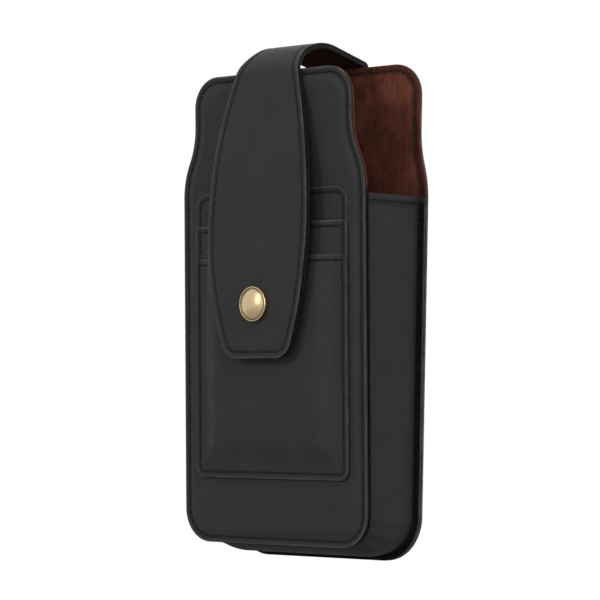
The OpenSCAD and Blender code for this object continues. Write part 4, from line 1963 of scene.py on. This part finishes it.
@dataclass
class Snap:
    """The press stud: its domed cap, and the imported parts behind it."""

    cap_d: float = 12.5
    wall_h: float = 1.5
    rim_r: float = 0.28
    dome_h: float = 2.7
    groove_w: float = 0.4
    chamfer: float = 0.2
    dish: float = 0.05
    rim_turn: float = 140.0

    def build(self, shop: Shop, strap: Strap) -> None:
        """Spins the cap and dresses the socket, the stud and its post.

        Args:
            shop: The finishes.
            strap: The strap on which the cap sits.
        """
        bm = bmesh.new()
        cap_r = self.cap_d / 2
        dome_r = cap_r - 2 * self.rim_r - 0.1
        ball_r = (dome_r**2 + self.dome_h**2) / (2 * self.dome_h)
        pen = Pen(bm, (0, self.dish))
        pen.line((cap_r - self.chamfer, 0.0), cuts=3).line((cap_r, self.chamfer), cuts=1)
        pen.line((cap_r, self.wall_h), cuts=3)
        pen.arc((cap_r - self.rim_r, self.wall_h), self.rim_turn, 8)
        pen.line((dome_r, self.wall_h), cuts=1)
        sweep = math.degrees(math.asin(dome_r / ball_r))
        pen.arc((0, self.wall_h + self.dome_h - ball_r), sweep, 14)
        bmesh.ops.rotate(bm, verts=bm.verts, matrix=Matrix.Rotation(math.pi / 2, 3, "X"))
        for vert in bm.verts:
            if abs(vert.co.x) < SAME_PLACE:
                vert.co.x = 0.0
        bmesh.ops.spin(
            bm,
            geom=bm.verts[:] + bm.edges[:],
            cent=(0, 0, 0),
            axis=(0, 0, 1),
            angle=2 * math.pi,
            steps=64,
            use_merge=True,
            use_duplicate=False,
        )
        bmesh.ops.remove_doubles(bm, verts=bm.verts, dist=SAME_PLACE)
        bmesh.ops.recalc_face_normals(bm, faces=bm.faces)
        groove = bm.verts.layers.float.new("seam")
        for vert in bm.verts:
            off = abs(vert.co.xy.length - dome_r) / self.groove_w
            vert[groove] = max(0.0, 1.2 - off) if vert.co.z > self.wall_h / 2 else 0.0
        lift = Matrix.Translation((0, strap.snap_v, strap.face))
        cap = shop.piece("cap_dome", bm, CUT.row() @ CUT.front_plan() @ lift, [shop.brass])
        join(cap, Body.FLAP, Slot.BRASS, "snap_cap")
        for node in ("snap_socket", "snap_stud", "snap_post"):
            dress(node, shop.dull_brass)


# ---- the studio


def seen_directly(graph: Graph) -> Socket:
    """Tells what is looked at from what only lights the holster.

    Args:
        graph: The graph of the floor or the world.

    Returns:
        1 for what the camera sees itself, in a gloss or through glass, and 0 for light.
    """
    path = graph.add("LightPath").outputs
    seen = graph.sum("MAXIMUM", path["Is Camera Ray"], path["Is Glossy Ray"])
    return graph.sum("MAXIMUM", seen, path["Is Transmission Ray"])


def show_white(graph: Graph, kind: str, lit: Node, share: Socket, output: str) -> None:
    """Mixes plain white into what a lit shader shows.

    Args:
        graph: The graph of the floor or the world.
        kind: The white shader's type.
        lit: The lit shader.
        share: Share of the white.
        output: Name of the output node.
    """
    white = graph.add(kind, None, (), Color=(1, 1, 1), Strength=1.0)
    mix = graph.add("MixShader", None, (share, lit.outputs[0], white.outputs[0]))
    graph.feed(graph.tree.nodes[output], {"Surface": mix.outputs[0]})


@dataclass
class Studio:
    """The floor, the lamps, the world and the camera."""

    floor_z: float = -0.36
    floor_r: float = 1.1
    sky_top: float = 0.28
    sky_low: float = 0.05
    aim: tuple[float, float, float] = (-0.01679, -0.0036, -0.01224)
    distance: float = 1.0052
    azimuth: float = 41.5
    pitch: float = -3.334
    roll: float = 1.239
    lens: float = 162.0

    def build(self) -> None:
        """Sets up everything that isn't part of the holster."""
        self._floor()
        self._world()
        for name, place, size, watts, mirrored in (
            ("key_lamp", (-0.34, -1.3, 0.5), (0.2, 0.2), 7.4, False),
            ("right_lamp", (1.15, -0.2, 0.35), (0.6, 0.9), 11.3, True),
            ("strip_lamp", (0.45, -1.1, 0.62), (0.62, 1.6), 5.8, True),
            ("top_lamp", (0.15, -0.15, 1.1), (0.5, 0.5), 2.5, False),
            ("back_lamp", (-0.45, 1.15, 0.75), (0.6, 0.6), 7.0, True),
        ):
            lamp = bpy.data.lights.new(name, "AREA")
            lamp.shape = "RECTANGLE"
            lamp.size, lamp.size_y = size
            lamp.energy = watts
            hung = hang(name, lamp)
            hung.location = place
            hung.visible_glossy = mirrored
            hung.rotation_euler = (-Vector(place)).to_track_quat("-Z", "Y").to_euler()
        self._camera()

    def _floor(self) -> None:
        """Lays a pale round floor well below the hanging holster."""
        bm = bmesh.new()
        bmesh.ops.create_circle(bm, cap_ends=True, segments=96, radius=self.floor_r)
        bmesh.ops.translate(bm, verts=bm.verts, vec=(0, 0, self.floor_z))
        mesh = bpy.data.meshes.new("floor")
        bm.to_mesh(mesh)
        bm.free()
        material, graph, shader = start_material("pale_floor")
        graph.feed(shader, {"Base Color": (0.36, 0.36, 0.36), "Roughness": 0.9})
        place = graph.add("TexCoord").outputs["Object"]
        off = graph.add("VectorMath", {"operation": "LENGTH"}, (place,)).outputs["Value"]
        edge = graph.between(off, 0.25, 1.0, 0.45, self.floor_r)
        share = graph.sum("MULTIPLY", edge, seen_directly(graph))
        show_white(graph, "Emission", shader, share, "Material Output")
        mesh.materials.append(material)
        hang("floor", mesh)

    def _world(self) -> None:
        """Makes the world white to look at and a soft grey as light."""
        world = bpy.data.worlds.new("studio")
        world.use_nodes = True
        graph = Graph(world.node_tree)
        way = graph.add("TexCoord").outputs["Generated"]
        height = graph.add("SeparateXYZ", None, (way,)).outputs["Z"]
        level = graph.between(height, self.sky_low, self.sky_top, -0.6, 0.5)
        light = graph.tree.nodes["Background"]
        graph.feed(light, {"Color": (1, 1, 1), "Strength": level})
        show_white(graph, "Background", light, seen_directly(graph), "World Output")
        bpy.context.scene.world = world

    def _camera(self) -> None:
        """Stands the camera where the photograph was taken from."""
        data = bpy.data.cameras.new("camera")
        data.lens = self.lens
        data.sensor_width = 36.0
        data.clip_start, data.clip_end = 0.05, 20.0
        camera = hang("camera", data)
        a, e, r = (math.radians(x) for x in (self.azimuth, self.pitch, self.roll))
        back = Vector((math.sin(a) * math.cos(e), -math.cos(a) * math.cos(e), math.sin(e)))
        right = Vector((math.cos(a), math.sin(a), 0))
        up = back.cross(right)
        turned_right = right * math.cos(r) + up * math.sin(r)
        turned_up = up * math.cos(r) - right * math.sin(r)
        place = Vector(self.aim) + back * self.distance
        camera.matrix_world = plan(turned_right, turned_up, place)
        bpy.context.scene.camera = camera


def main() -> None:
    """Builds the holster's sub-assemblies in order, and the studio round them."""
    logging.basicConfig(level=logging.INFO, format="%(name)s %(message)s")
    bpy.context.scene.view_settings.view_transform = "Standard"
    shop = Shop()
    Panel(
        "front", CUT.front_neck_w, CUT.front_h, CUT.front_low_r, CUT.front_top_r,
        CUT.mouth_h + CUT.front_shoulder_gap, CUT.front_plan(), CUT.front_plan(Face.INSIDE),
    ).build(shop)
    Panel(
        "back", CUT.back_neck_w, CUT.back_h, CUT.back_low_r, CUT.back_top_r,
        CUT.mouth_z - CUT.back_shoulder_gap, CUT.back_plan(), CUT.back_plan(Face.INSIDE),
        painted=False, edge_ink_and_shade=0.9,
    ).build(shop)
    SideWall().build(shop)
    CardSlots().build(shop)
    strap = Strap()
    strap.build(shop)
    BeltLoop().build(shop)
    Snap().build(shop, strap)
    for node in ("front_board", "back_board"):
        dress(node, shop.board)
    Studio().build()


if __name__ == "__main__":
    main()
